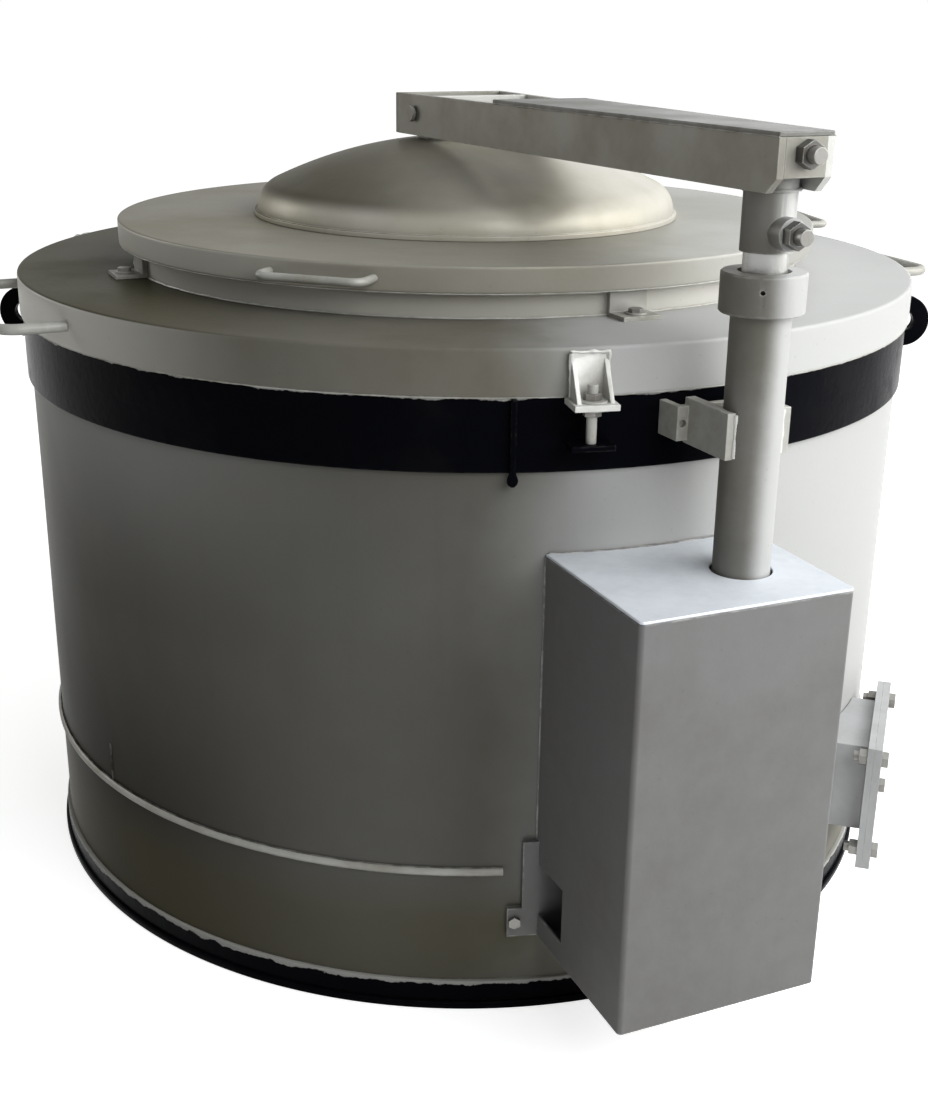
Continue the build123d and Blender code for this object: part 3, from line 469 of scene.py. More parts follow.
# The drum is made paler towards the right as painted light, and on its left it gets painted light above and
# a darker tone below.
drum_silver = silver_paint("drum_silver", (0.111, 0.108, 0.099), (0.097, 0.092, 0.078), size=0.60,
                           metal=0.05, tint=0.10, painted_light_right=(-0.02, 0.22, 0.92), dirt_below=0.235,
                           lit_above_dark_below=(-0.12, -0.58, 0.26, 0.90))
# The cover has painted shade with an olive tint on its left top, painted light on its left upright edge,
# and painted light towards the right.
cover_silver = silver_paint("cover_silver", (0.153, 0.146, 0.124), (0.131, 0.121, 0.092), size=0.30,
                            metal=0.05, tint=0.10, olive_painted_shade=(-0.12, -0.52, 0.95), painted_light_right=(0.00, 0.20, 1.0),
                            upright=(-0.26, -0.64, 1.0))
# The mouth has painted shade on its left top, and painted light on upright faces to the left, below the rim
# and towards the right.
mouth_silver = silver_paint("mouth_silver", (0.283, 0.270, 0.228), (0.240, 0.225, 0.174), size=0.40,
                            olive_painted_shade=(0.00, -0.60, 0.15), painted_light_right=(0.06, 0.42, 0.60),
                            upright=(-0.10, -0.50, 0.60), painted_light_below=RIM_UNDERSIDE)
# The dome's olive darkening is painted shade on its upward faces.
dome_silver = silver_paint("dome_silver", (0.462, 0.444, 0.394), (0.370, 0.346, 0.276), size=0.26,
                           rough=0.34, metal=0.20, olive_painted_shade=(0.22, -0.20, 0.84))
box_silver = silver_paint("box_silver", (0.172, 0.171, 0.168), (0.154, 0.150, 0.144), size=0.16, wear=0.6)
# Painted light: the box's top is a paler, bluer copy of the box's silver, for the light it catches from
# above.
box_top_painted_light = silver_paint("box_top_painted_light", (0.72, 0.75, 0.79), (0.60, 0.63, 0.67), size=0.12,
                              metal=0.30, wear=0.6)
# The mast is made paler on its right side as painted light.
mast_silver = silver_paint("mast_silver", (0.168, 0.162, 0.147), (0.142, 0.136, 0.115), size=0.12,
                           painted_light_right=(0.358, 0.390, 0.95))
arm_silver = silver_paint("arm_silver", (0.284, 0.276, 0.248), (0.228, 0.217, 0.180), size=0.14)
# Painted shade: the arm's top plate is a darker copy of the arm's silver, to take down the light it catches
# from above.
arm_top_painted_shade = silver_paint("arm_top_painted_shade", (0.185, 0.183, 0.174), (0.155, 0.151, 0.138), size=0.14)
# Painted light: the arm's far side and cross plates get a pale copy of the arm's silver, so their shaded
# inner faces look lit.
inner_painted_light = silver_paint("inner_painted_light", (0.530, 0.522, 0.498), (0.460, 0.451, 0.425), size=0.14)
port_silver = silver_paint("port_silver", (0.400, 0.402, 0.405), (0.345, 0.345, 0.343), size=0.10)
fitting_silver = silver_paint("fitting_silver", (0.400, 0.395, 0.372), (0.300, 0.290, 0.250), size=0.07,
                              wear=0.5)
pale_silver = silver_paint("pale_silver", (0.640, 0.635, 0.610), (0.480, 0.470, 0.430), size=0.04, wear=0.4)

# %% [markdown]
# ## Black enamel
# The band and the base were painted black by brush. The enamel is smooth but old, with dust
# in broad clouds, so it reflects little. Along its upper edge the silver runs over it in a
# ragged line, so the colour and the roughness both change there by height.

# %% Black enamel
ENAMEL = (0.0022, 0.0024, 0.0036)
ENAMEL_DUST = (0.009, 0.0088, 0.0088)
ENAMEL_WORN = (0.12, 0.115, 0.11)
SILVER_OVER = (0.36, 0.355, 0.335)
SILVER_OVER_ROUGH = 0.46


def black_enamel(name, silver_above=None, reach=0.010):
    material, tree, shader, point = start_material(name)
    dust = clouds(tree, point, 0.12, 0.45, 0.75)
    grain = use(tree, grain_group, point, Peel=0.014)
    worn = use(tree, wear_group, point, Width=0.003, Breaks=0.015)["Mask"]
    colour = layer(tree, ENAMEL, dust, 0.30, ENAMEL_DUST)
    colour = layer(tree, colour, worn, 0.25, ENAMEL_WORN)
    roughness = remap(tree, dust, 0.0, 1.0, 0.24, 0.38)
    if silver_above:
        above = use(tree, ragged_group, point, Height=silver_above, Reach=reach, Wave=0.045)["Above"]
        colour = mix_colours(tree, above, colour, SILVER_OVER)
        rougher = calculate(tree, "SUBTRACT", SILVER_OVER_ROUGH, roughness)
        roughness = calculate(tree, "ADD", roughness, times(tree, rougher, above))
    finish_material(tree, shader, colour, roughness, grain["Height"], 0.0004)
    dim_reflection(shader, 0.015, 0.3)
    return material


band_low, band_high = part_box("top_band")
kick_low, kick_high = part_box("base_kick_ring")
band_black = black_enamel("band_black", silver_above=band_high.z - 0.002, reach=0.016)
base_black = black_enamel("base_black", silver_above=kick_high.z - 0.006, reach=0.022)
lug_black = black_enamel("lug_black")

# %% [markdown]
# ## Steel, bronze, refractory and graphite
# Bolts and nuts are plain steel, darkened and touched by paint. Inside, the refractory is
# cast concrete with pits and soot, and the crucible is graphite with a glassy slip that has
# burned through. They show when the lid swings away.

# %% Bare steel and bronze
RUST = (0.085, 0.055, 0.035)
RUBBED_STEEL = (0.55, 0.54, 0.52)


def bare_steel(name, tone, rough, rust=0.25):
    material, tree, shader, point = start_material(name)
    patches = clouds(tree, point, 0.03, 0.45, 0.7)
    grain = use(tree, grain_group, point, Flake=0.0008, Peel=0.003)
    worn = use(tree, wear_group, point, Width=0.0016, Breaks=0.01)["Mask"]
    colour = layer(tree, tone, patches, rust, RUST)
    colour = layer(tree, colour, worn, 0.6, RUBBED_STEEL)
    roughness = remap(tree, patches, 0.0, 1.0, rough, rough + 0.2)
    finish_material(tree, shader, colour, roughness, grain["Height"], 0.0002, metal=0.85)
    return material


bolt_steel = bare_steel("bolt_steel", (0.22, 0.215, 0.20), 0.38)
dark_nut_steel = bare_steel("dark_nut_steel", (0.10, 0.10, 0.095), 0.34, rust=0.35)
turned_steel = bare_steel("turned_steel", (0.36, 0.36, 0.35), 0.34, rust=0.08)
bearing_bronze = bare_steel("bearing_bronze", (0.52, 0.36, 0.16), 0.3, rust=0.1)

# %% Refractory, fibre and graphite
PIT_SHADE = 0.4
FURNACE_SOOT = (0.022, 0.019, 0.017)


def rough_mineral(name, tone, dark, rough, pit_size=0.012, pit_depth=0.0012, soot=None):
    """Soot is the height where it starts and the height where it is thickest."""
    material, tree, shader, point = start_material(name)
    patches = clouds(tree, point, 0.09, 0.38, 0.68)
    grain = use(tree, grain_group, point, Flake=0.003, Peel=pit_size, Speck=pit_size)
    colour = mix_colours(tree, patches, tone, dark)
    colour = layer(tree, colour, grain["Specks"], 0.8, tuple(part * PIT_SHADE for part in dark))
    if soot:
        thick = remap(tree, split_point(tree, point)[2], *soot)
        colour = layer(tree, colour, thick, remap(tree, patches, 0.0, 1.0, 0.6, 0.95), FURNACE_SOOT)
    roughness = remap(tree, patches, 0.0, 1.0, rough, min(1.0, rough + 0.15))
    height = calculate(tree, "SUBTRACT", grain["Height"], grain["Specks"])
    finish_material(tree, shader, colour, roughness, height, pit_depth)
    return material


mouth_low, mouth_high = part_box("mouth_refractory")
cast_refractory = rough_mineral("cast_refractory", (0.46, 0.39, 0.30), (0.24, 0.19, 0.14), 0.80)
sooty_refractory = rough_mineral("sooty_refractory", (0.42, 0.35, 0.27), (0.20, 0.16, 0.12), 0.78,
                                 soot=(mouth_high.z + 0.03, mouth_low.z))
fibre_white = rough_mineral("fibre_white", (0.74, 0.73, 0.70), (0.62, 0.60, 0.55), 0.9, pit_size=0.005)
graphite = rough_mineral("graphite", (0.060, 0.058, 0.058), (0.105, 0.075, 0.055), 0.50, pit_size=0.008,
                         pit_depth=0.0005)
finishes = {
    "silver_paint": fitting_silver,
    "black_paint": lug_black,
    "bolt_steel": bolt_steel,
    "bright_steel": turned_steel,
    "bronze": bearing_bronze,
    "refractory": cast_refractory,
    "fibre": fibre_white,
    "graphite": graphite,
}
print(len(bpy.data.materials), "materials")

# %% [markdown]
# ## Every solid gets a finish
# The record gives each node a material slot. This loop gives every solid the finish of its
# slot first, so that nothing is left plain, and the cells below then dress the pieces that
# show with finer meshes of their own.

# %% Default finishes
slot_of = {part["node"]: part["material_slot"] for part in frame["record"]["subparts"]}
body_of_node = {}
for body, members in frame["record"]["behaviour"]["bodies"].items():
    for member in members:
        body_of_node[member] = body

for node, solid in frame["nodes"].items():
    for index in range(len(solid.material_slots)):
        solid.material_slots[index].material = finishes[slot_of[node]]


def add_piece(name, mesh, node, material, instead=True):
    """A new piece that takes its body from a node, and stands for it unless told not to."""
    mesh.materials.clear()
    mesh.materials.append(material)
    piece = bpy.data.objects.new(name, mesh)
    scene.collection.objects.link(piece)
    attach(piece, body_of_node[node])
    if instead:
        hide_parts(node)
    print("piece", name, "on", body_of_node[node], "with", len(mesh.polygons), "faces")
    return piece


# %% [markdown]
# ## Turned and rolled pieces
# The drum, the band, the cover, the mouth plate, the dome and the pipe are all rings. Each
# is drawn as a half section, with its corners rounded, and carried round an axis. Rows are
# kept close to each rounded corner, so that the flats beside it shade flat.

# %% Section and ring helpers
SMOOTH_LIMIT = math.radians(38)
LONGEST_ROUND = 0.3
HOLD = 1.6


def rounded_section(corners, radius, steps=4):
    """A section's points, with each corner turned into a small arc and held by a row either side."""
    points = []
    for index, corner in enumerate(corners):
        here = Vector(corner)
        before = Vector(corners[index - 1]) - here
        after = Vector(corners[(index + 1) % len(corners)]) - here
        size = min(radius, before.length * LONGEST_ROUND, after.length * LONGEST_ROUND)
        start = here + before.normalized() * size
        end = here + after.normalized() * size
        points.append(here + before.normalized() * size * HOLD)
        for step in range(steps + 1):
            share = step / steps
            points.append(start.lerp(here, share).lerp(here.lerp(end, share), share))
        points.append(here + after.normalized() * size * HOLD)
    return points


def flat_ring(inner, outer, low, high, radius, steps=4):
    """The rounded section of a flat ring. It starts at its lower inner corner."""
    return rounded_section([(inner, low), (outer, low), (outer, high), (inner, high)], radius, steps)


def split_long(points, longest):
    """Adds rows along a section's long runs, so that a surface can be gently uneven."""
    result = []
    for index, a in enumerate(points):
        b = points[(index + 1) % len(points)]
        pieces = max(1, math.ceil((b - a).length / longest))
        result += [a.lerp(b, step / pieces) for step in range(pieces)]
    return result


def grid_mesh(name, rows, closed):
    """A mesh from rows of points. Each row is a loop, and the rows close up too or get end caps."""
    work = bmesh.new()
    made = [[work.verts.new(point) for point in row] for row in rows]
    columns = len(made[0])
    for i in range(len(made) if closed else len(made) - 1):
        this, following = made[i], made[(i + 1) % len(made)]
        for j in range(columns):
            k = (j + 1) % columns
            work.faces.new((this[j], following[j], following[k], this[k]))
    if not closed:
        work.faces.new(list(reversed(made[0])))
        work.faces.new(made[-1])
    bmesh.ops.recalc_face_normals(work, faces=work.faces)
    return smooth_mesh(name, work)


def smooth_mesh(name, work):
    """Turns a bmesh into a mesh that shades smooth, but for its sharp edges."""
    mesh = bpy.data.meshes.new(name)
    work.to_mesh(mesh)
    work.free()
    mesh.shade_smooth()
    mesh.set_sharp_from_angle(angle=SMOOTH_LIMIT)
    return mesh


def on_circle(radius, height, angle, centre=(0, 0)):
    return centre[0] + radius * math.cos(angle), centre[1] + radius * math.sin(angle), height


def ring_mesh(name, section, segments=256, centre=(0, 0), start=0.0, sweep=360.0, shape=None):
    """Carries a section of (radius, height) points round an upright axis."""
    whole = abs(sweep - 360) < 0.01
    count = segments if whole else segments + 1
    rows = []
    for i in range(count):
        angle = math.radians(start + sweep * i / segments)
        row = []
        for radius, height in section:
            if shape:
                radius, height = shape(radius, height, angle)
            row.append(on_circle(radius, height, angle, centre))
        rows.append(row)
    return grid_mesh(name, rows, whole)


def add_ring(name, node, material, section, segments, **options):
    return add_piece(name, ring_mesh(name, section, segments, **options), node, material)


def unevenness(amount, size, seed):
    """A gentle, repeatable unevenness for hand-rolled sheet, always inwards from the true size."""
    def shape(radius, height, angle):
        spot = Vector(on_circle(radius, height, angle)) / size
        return radius - amount * (0.5 + 0.5 * noise.noise(spot + Vector((seed, 0, 0)))), height
    return shape


# %% [markdown]
# ## Base and drum
# The drum is a rolled sheet with one welded seam, standing in a black kick ring. Its wall is
# never perfectly true, and the lamps show that, so the rows move inwards by up to about a
# millimetre. The bar round it is half-round, with a weld above and below.

# %% Base plate and kick ring
AXIS_GAP = 0.0005
KICK_WALL = 0.012
POINTS_PER_CORNER = 7
base_low, base_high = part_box("base_plate")
section = flat_ring(0.70, base_high.x, base_low.z, base_high.z, 0.003)
# Only the two outer corners are kept, and the plate closes at the axis instead.
outer_edge = [tuple(point) for point in section[POINTS_PER_CORNER:-POINTS_PER_CORNER]]
section = [(AXIS_GAP, base_low.z)] + outer_edge + [(AXIS_GAP, base_high.z)]
add_ring("base_rim", "base_plate", base_black, section, 320)
section = flat_ring(kick_high.x - KICK_WALL, kick_high.x, kick_low.z, kick_high.z, 0.002)
add_ring("kick_band", "base_kick_ring", base_black, section, 320, shape=unevenness(0.0006, 0.2, 3))

# %% Drum
DRUM_WALL = 0.005
drum_low, drum_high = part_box("drum_shell")
drum_radius = drum_high.x
section = flat_ring(drum_radius - DRUM_WALL, drum_radius, drum_low.z, drum_high.z, 0.001, 2)
section = split_long(section, 0.05)
drum = add_ring("drum_wall", "drum_shell", drum_silver, section, 384, shape=unevenness(0.0012, 0.28, 8))

# %% [markdown]
# The duct of the burner port goes through the drum's wall, so the finer wall needs the same
# hole. A Boolean modifier cuts it with a box and is applied at once, so that the mesh holds
# the real shape.

# %% Port hole in the drum
PORT_TURN = Matrix.Rotation(math.radians(-17.5), 4, "Z")
PORT_OFFSET = -0.205
DUCT_INSIDE_WIDTH = 0.164
DUCT_WALL = 0.008
CUT_FROM, CUT_TO = 0.3, 0.9
duct_low, duct_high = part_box("port_duct")


def bake_modifiers(piece):
    """Replaces a piece's mesh by what its modifiers make of it."""
    graph = bpy.context.evaluated_depsgraph_get()
    graph.update()
    made = bpy.data.meshes.new_from_object(piece.evaluated_get(graph))
    old = piece.data
    piece.modifiers.clear()
    made.name = old.name
    piece.data = made


def cut_for_duct(piece, half_width, low, high):
    """Cuts the burner port's way through a piece, outwards from inside the drum."""
    box_low = Vector((CUT_FROM, PORT_OFFSET - half_width, low))
    box_high = Vector((CUT_TO, PORT_OFFSET + half_width, high))
    middle = Matrix.Translation((box_high + box_low) / 2)
    work = bmesh.new()
    bmesh.ops.create_cube(work, size=1.0)
    move = PORT_TURN @ middle @ Matrix.Diagonal((*(box_high - box_low), 1))
    bmesh.ops.transform(work, matrix=move, verts=work.verts)
    mesh = bpy.data.meshes.new("cutter")
    work.to_mesh(mesh)
    work.free()
    tool = bpy.data.objects.new("cutter", mesh)
    scene.collection.objects.link(tool)
    modifier = piece.modifiers.new("cut", "BOOLEAN")
    modifier.operation = "DIFFERENCE"
    modifier.solver = "EXACT"
    modifier.object = tool
    bake_modifiers(piece)
    bpy.data.objects.remove(tool)


half_duct = DUCT_INSIDE_WIDTH / 2
cut_for_duct(drum, half_duct, duct_low.z + DUCT_WALL, duct_high.z - DUCT_WALL)
print("drum wall has", len(drum.data.polygons), "faces")

# %% [markdown]
# ## Welds
# Everything on the furnace is welded, and the welds catch the light as thin lumpy lines. A
# weld is a small round bar that follows a seam, thicker and thinner in regular ripples. One
# function makes them all, and the seam's path is worked out from the pieces that it joins.

# %% Weld helper
WELD_SIDES = 6
RIPPLE_LENGTH, RIPPLE_HEIGHT = 0.0045, 0.10
LUMP_LENGTH = 0.011
DRIFT_LENGTH = 0.02
weld_count = 0


def tube_mesh(name, path, radius_at, closed):
    """A round bar along a path of points. radius_at gives the radius at a length along it."""
    rows = []
    travelled = 0.0
    count = len(path)
    for i, point in enumerate(path):
        ahead = path[(i + 1) % count] if closed else path[min(i + 1, count - 1)]
        behind = path[i - 1] if (closed or i) else path[0]
        along = (ahead - behind).normalized()
        side = along.cross(Vector((0, 0, 1)))
        if side.length < 0.05:
            side = along.cross(Vector((1, 0, 0)))
        side.normalize()
        over = side.cross(along).normalized()
        radius = radius_at(travelled)
        ring = []
        for k in range(WELD_SIDES):
            turn = 2 * math.pi * k / WELD_SIDES
            ring.append(point + side * math.cos(turn) * radius + over * math.sin(turn) * radius)
        rows.append(ring)
        travelled += (ahead - point).length
    return grid_mesh(name, rows, closed)


def weld(node, path, radius, material, closed=False, step=0.0022, uneven=0.35):
    """A rippled weld along a path, on the node's body. The count makes each weld different."""
    global weld_count
    weld_count += 1
    seed = weld_count * 7.3
    name = f"weld_{weld_count}"
    corners = [Vector(point) for point in path]
    points = []
    for a, b in zip(corners, corners[1:] + corners[:closed]):
        pieces = max(1, round((b - a).length / step))
        points += [a.lerp(b, k / pieces) for k in range(pieces)]
    if not closed:
        points.append(corners[-1])
    for i, point in enumerate(points):
        drift = noise.noise(Vector((i * step / DRIFT_LENGTH, seed, 0))) * radius * uneven
        points[i] = point + Vector((0, 0, drift))

    def radius_at(length):
        ripple = RIPPLE_HEIGHT * math.sin(length / RIPPLE_LENGTH * 2 * math.pi)
        lump = uneven * noise.noise(Vector((length / LUMP_LENGTH, seed, 4)))
        return radius * (1 + ripple + lump)

    add_piece(name, tube_mesh(name, points, radius_at, closed), node, material, instead=False)


def circle(radius, height, centre=(0, 0), start=0.0, sweep=360.0, step=0.02):
    """Points along a level circle or a part of one."""
    count = max(8, round(abs(math.radians(sweep)) * radius / step))
    whole = abs(sweep - 360) < 0.01
    points = []
    for i in range(count if whole else count + 1):
        angle = math.radians(start + sweep * i / count)
        points.append(on_circle(radius, height, angle, centre))
    return points


def ring_weld(node, radius, height, bar, material, uneven=0.3):
    """A weld all round a seam on the furnace's axis."""
    weld(node, circle(radius, height, step=0.006), bar, material, closed=True, step=0.004, uneven=uneven)


# %% Bar round the drum, with its welds
BEAD_START = -53.1
BEAD_SWEEP = 328.13
PAST_THE_PORT = 55
FIT = 0.0003
bead_low, bead_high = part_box("drum_bead")
bead_middle = (bead_low.z + bead_high.z) / 2
bead_bar = (bead_high.z - bead_low.z) / 2
half_round = []
for i in range(13):
    turn = math.radians(-90 + 15 * i)
    out_radius = drum_radius + FIT + bead_bar * math.cos(turn)
    half_round.append(Vector((out_radius, bead_middle + bead_bar * math.sin(turn))))
bead = add_ring("drum_bar", "drum_bead", fitting_silver, half_round, 384, start=BEAD_START,
                sweep=BEAD_SWEEP, shape=unevenness(0.0007, 0.06, 21))
cut_for_duct(bead, half_duct + DUCT_WALL + FIT, duct_low.z, 0.4)
# The bar's welds start past the burner port, which cuts the bar.
for side in (-1, 1):
    seam = circle(drum_radius + 0.001, bead_middle + side * bead_bar, start=BEAD_START + PAST_THE_PORT,
                  sweep=BEAD_SWEEP - PAST_THE_PORT)
    weld("drum_bead", seam, 0.0014, drum_silver, step=0.004, uneven=0.2)

# %% Upright seam of the drum
SEAM_AZIMUTH = math.radians(-138.9)
SEAM_TOP = 0.303
seam = [on_circle(drum_radius - 0.0004, height, SEAM_AZIMUTH) for height in (bead_high.z, SEAM_TOP)]
weld("drum_shell", seam, 0.0018, drum_silver, uneven=0.3)

# %% [markdown]
# ## Black band
# A flat bar closed by a tongue is drawn tight round the drum just under the cover. The
# silver of the cover has run over its upper edge.

# %% Band
band_radius = band_high.x
band_inner = drum_radius + FIT
section = split_long(flat_ring(band_inner, band_radius, band_low.z, band_high.z, 0.0015, 3), 0.03)
add_ring("black_band", "top_band", band_black, section, 320, shape=unevenness(0.0009, 0.12, 5))

# %% [markdown]
# ## Cover ring
# The cover is a thick plate with a rolled skirt that hangs over the drum. Its outer edge is
# rounded by grinding, and a run of weld and sealing paint shows between it and the band.

# %% Cover
COVER_HOLE = 0.470
COVER_PLATE = 0.010
cover_low, cover_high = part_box("cover_ring")
cover_radius = cover_high.x
cover_under = cover_high.z - COVER_PLATE
section = [(COVER_HOLE, cover_under), (band_inner, cover_under), (band_inner, cover_low.z),
           (cover_radius, cover_low.z), (cover_radius, cover_high.z), (COVER_HOLE, cover_high.z)]
section = split_long(rounded_section(section, 0.005, 5), 0.03)
add_ring("cover_skin", "cover_ring", cover_silver, section, 384, shape=unevenness(0.0008, 0.25, 11))
ring_weld("cover_ring", cover_radius - 0.0025, cover_low.z + FIT, 0.0016, fitting_silver, 0.35)

# %% [markdown]
# ## Mouth plate
# The raised disc has a broad rim over a narrower skirt. A weld runs under the rim and
# another joins the skirt to the cover, both brighter than the plate beside them.

# %% Mouth plate casing
SKIRT_RADIUS = 0.560
SHEET = 0.008
LIP_RADIUS = 0.330
plate_low, plate_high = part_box("mouth_plate")
rim_radius = plate_high.x
DECK = plate_high.z - 0.010
section = [(rim_radius, plate_high.z), (rim_radius, RIM_UNDERSIDE), (SKIRT_RADIUS, RIM_UNDERSIDE),
           (SKIRT_RADIUS, plate_low.z), (SKIRT_RADIUS - SHEET, plate_low.z),
           (SKIRT_RADIUS - SHEET, RIM_UNDERSIDE + SHEET), (rim_radius - SHEET, RIM_UNDERSIDE + SHEET),
           (rim_radius - SHEET, DECK), (LIP_RADIUS, DECK), (LIP_RADIUS, plate_high.z)]
section = split_long(rounded_section(section, 0.0035, 4), 0.03)


def mouth_shape(radius, height, angle):
    """Uneven, but flat where the lid rests."""
    if height > DECK:
        return radius, height
    spot = Vector((math.cos(angle), math.sin(angle), height)) * radius / 0.2
    return radius - 0.0007 * (0.5 + 0.5 * noise.noise(spot)), height


add_ring("mouth_casing", "mouth_plate", mouth_silver, section, 384, shape=mouth_shape)
ring_weld("mouth_plate", SKIRT_RADIUS + 0.0015, plate_low.z + 0.001, 0.0018, fitting_silver)
ring_weld("mouth_plate", rim_radius - 0.002, RIM_UNDERSIDE + FIT, 0.0013, fitting_silver)

# %% [markdown]
# ## Inside the furnace
# The mouth is lined with cast refractory that chips round its lip, so the section is carried
# round with small dents. The crucible is a pressed pot with a thick wall and a bevelled foot.
# Both are hidden while the lid is shut, and show when it swings away.

# %% Refractory in the mouth
MOUTH_RADIUS = 0.300
inside_skirt = SKIRT_RADIUS - SHEET - FIT
inside_rim = rim_radius - SHEET - FIT
section = [(MOUTH_RADIUS, mouth_low.z), (inside_skirt, mouth_low.z), (inside_skirt, RIM_UNDERSIDE + SHEET),
           (inside_rim, RIM_UNDERSIDE + SHEET), (inside_rim, DECK), (LIP_RADIUS - FIT, DECK),
           (LIP_RADIUS - FIT, mouth_high.z), (MOUTH_RADIUS, mouth_high.z)]
section = split_long(rounded_section(section, 0.006, 4), 0.012)


def chipped(radius, height, angle):
    """Dents round the mouth, but none where the casing holds the lining."""
    if radius > LIP_RADIUS - 0.002:
        return radius, height
    spot = Vector(on_circle(radius, height, angle)) / 0.018
    dent = 0.0022 * max(0.0, noise.noise(spot))
    drop = 0.0012 * max(0.0, noise.noise(spot * 1.7))
    return radius + dent, height - drop


add_ring("mouth_lining", "mouth_refractory", sooty_refractory, section, 256, shape=chipped)

# %% Crucible
FOOT_RADIUS = 0.200
POT_WALL = 0.040
FOOT_BEVEL = 0.045
crucible_low, crucible_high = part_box("crucible")
pot_radius = crucible_high.x
pot_floor = crucible_low.z + POT_WALL
outside_line = [(AXIS_GAP, crucible_low.z), (FOOT_RADIUS - FOOT_BEVEL, crucible_low.z),
                (FOOT_RADIUS + 0.006, crucible_low.z + FOOT_BEVEL), (pot_radius, crucible_high.z)]
inside_foot = FOOT_RADIUS - POT_WALL
inside_line = [(pot_radius - POT_WALL, crucible_high.z), (inside_foot + 0.008, pot_floor + FOOT_BEVEL),
               (inside_foot - FOOT_BEVEL, pot_floor), (AXIS_GAP, pot_floor)]
section = split_long(rounded_section(outside_line + inside_line, 0.010, 5), 0.04)
add_ring("crucible_pot", "crucible", graphite, section, 192, shape=unevenness(0.0006, 0.06, 31))

# %% [markdown]
# ## Domed lid
# The lid is a spun dish: a shallow crown that turns down through a tighter knuckle to a
# short upright edge. Both curves are true arcs, so the highlight runs over them without a
# break. A flat ring is welded round its foot.

# %% Dome
EDGE_HEIGHT = 0.009
KNUCKLE = 0.050
LID_SHEET = 0.005
dome_low, dome_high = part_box("lid_dome")
dome_radius = dome_high.x


def dome_line(offset, steps=28):
    """The dome's half section from its top to its foot, moved inwards by offset."""
    knuckle_centre = dome_radius - KNUCKLE
    edge_z = dome_low.z + EDGE_HEIGHT
    rise = dome_high.z - edge_z
    crown = (knuckle_centre ** 2 + rise ** 2 - KNUCKLE ** 2) / (2 * (rise - KNUCKLE))
    crown_z = dome_high.z - crown
    tangent = math.atan2(knuckle_centre, edge_z - crown_z)
    points = []
    for i in range(steps):
        turn = tangent * i / steps
        out_radius = max(AXIS_GAP, (crown - offset) * math.sin(turn))
        points.append(Vector((out_radius, crown_z + (crown - offset) * math.cos(turn))))
    for i in range(13):
        turn = tangent + (math.pi / 2 - tangent) * i / 12
        out_radius = knuckle_centre + (KNUCKLE - offset) * math.sin(turn)
        points.append(Vector((out_radius, edge_z + (KNUCKLE - offset) * math.cos(turn))))
    points.append(Vector((dome_radius - offset, dome_low.z)))
    return points


section = dome_line(0) + list(reversed(dome_line(LID_SHEET)))


def spun(radius, height, angle):
    """Waves left by the spinning tool, which fade out towards the foot."""
    spot = Vector(on_circle(radius, height, angle)) / 0.16
    return radius, height + 0.0009 * noise.noise(spot) * min(1.0, (height - dome_low.z) / 0.04)


add_ring("dome_casing", "lid_dome", dome_silver, section, 256, shape=spun)
rim_low, rim_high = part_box("lid_rim")
rim_inner = dome_radius + FIT
section = flat_ring(rim_inner, rim_high.x, rim_low.z, rim_high.z, 0.0016, 3)
add_ring("dome_foot_ring", "lid_rim", dome_silver, section, 256, shape=unevenness(0.0008, 0.09, 2))
ring_weld("lid_rim", rim_inner + 0.0005, rim_high.z, 0.0012, dome_silver, 0.2)

# %% [markdown]
# ## Plates, brackets and boxes
# Flat pieces already have their true outline in the solids, but a real plate has no sharp
# edge. `dress` copies a node's mesh, joins its flat facets and rolls a fine bevel round
# every edge, so that each edge catches a line of light. The solid itself is not touched.

# %% Dressing a solid


def dress(node, material, bevel, segments):
    """A copy of a node's mesh with its facets joined and its edges bevelled."""
    work = bmesh.new()
    work.from_mesh(frame["nodes"][node].data)
    bmesh.ops.remove_doubles(work, verts=work.verts, dist=0.00002)
    bmesh.ops.dissolve_limit(work, angle_limit=math.radians(0.8), verts=work.verts, edges=work.edges)
    piece = add_piece(f"{node}_skin", smooth_mesh(f"{node}_skin", work), node, material)
    modifier = piece.modifiers.new("edges", "BEVEL")
    modifier.width = bevel
    modifier.segments = segments
    modifier.limit_method = "ANGLE"
    modifier.angle_limit = SMOOTH_LIMIT
    modifier.harden_normals = True
    modifier.use_clamp_overlap = True
    bake_modifiers(piece)


DRESSED = [
    (arm_silver, 0.0015, ("arm_side_near", "arm_end_plate", "arm_rear_plate")),
    # The arm's top plate carries painted shade.
    (arm_top_painted_shade, 0.0015, ("arm_top_plate",)),
    # The arm's far side and cross plates carry painted light.
    (inner_painted_light, 0.0015, ("arm_side_far", "arm_cross_plates")),
    (mast_silver, 0.0015, ("arm_sleeve",)),
    (mast_silver, 0.0012, ("mast_pipe", "mast_collar")),
    (fitting_silver, 0.0010, ("tie_bracket", "mouth_clamps", "lid_lugs", "mouth_handles", "cover_handles",
                              "hold_down_bolts")),
    (pale_silver, 0.0010, ("hold_down_brackets",)),
    (box_silver, 0.0016, ("lift_box", "box_saddle", "box_floor")),
    # The box's top carries painted light.
    (box_top_painted_light, 0.0016, ("box_top",)),
    (port_silver, 0.0014, ("port_duct", "port_flange", "port_plate")),
    (lug_black, 0.0015, ("band_ledges", "lifting_lugs")),
    (arm_silver, 0.0015, ("lid_pin",)),
    (turned_steel, 0.0008, ("spindle", "ram_rod", "thrust_bearing", "lift_cylinder", "cylinder_gland")),
    (bearing_bronze, 0.0006, ("upper_bush", "lower_bush")),
    (bolt_steel, 0.0008, ("port_bolts", "mouth_clamp_bolts", "box_bolts", "hold_down_nuts")),
    (dark_nut_steel, 0.0012, ("sleeve_set_nuts",)),
    (bolt_steel, 0.0010, ("sleeve_set_bolts",)),
]
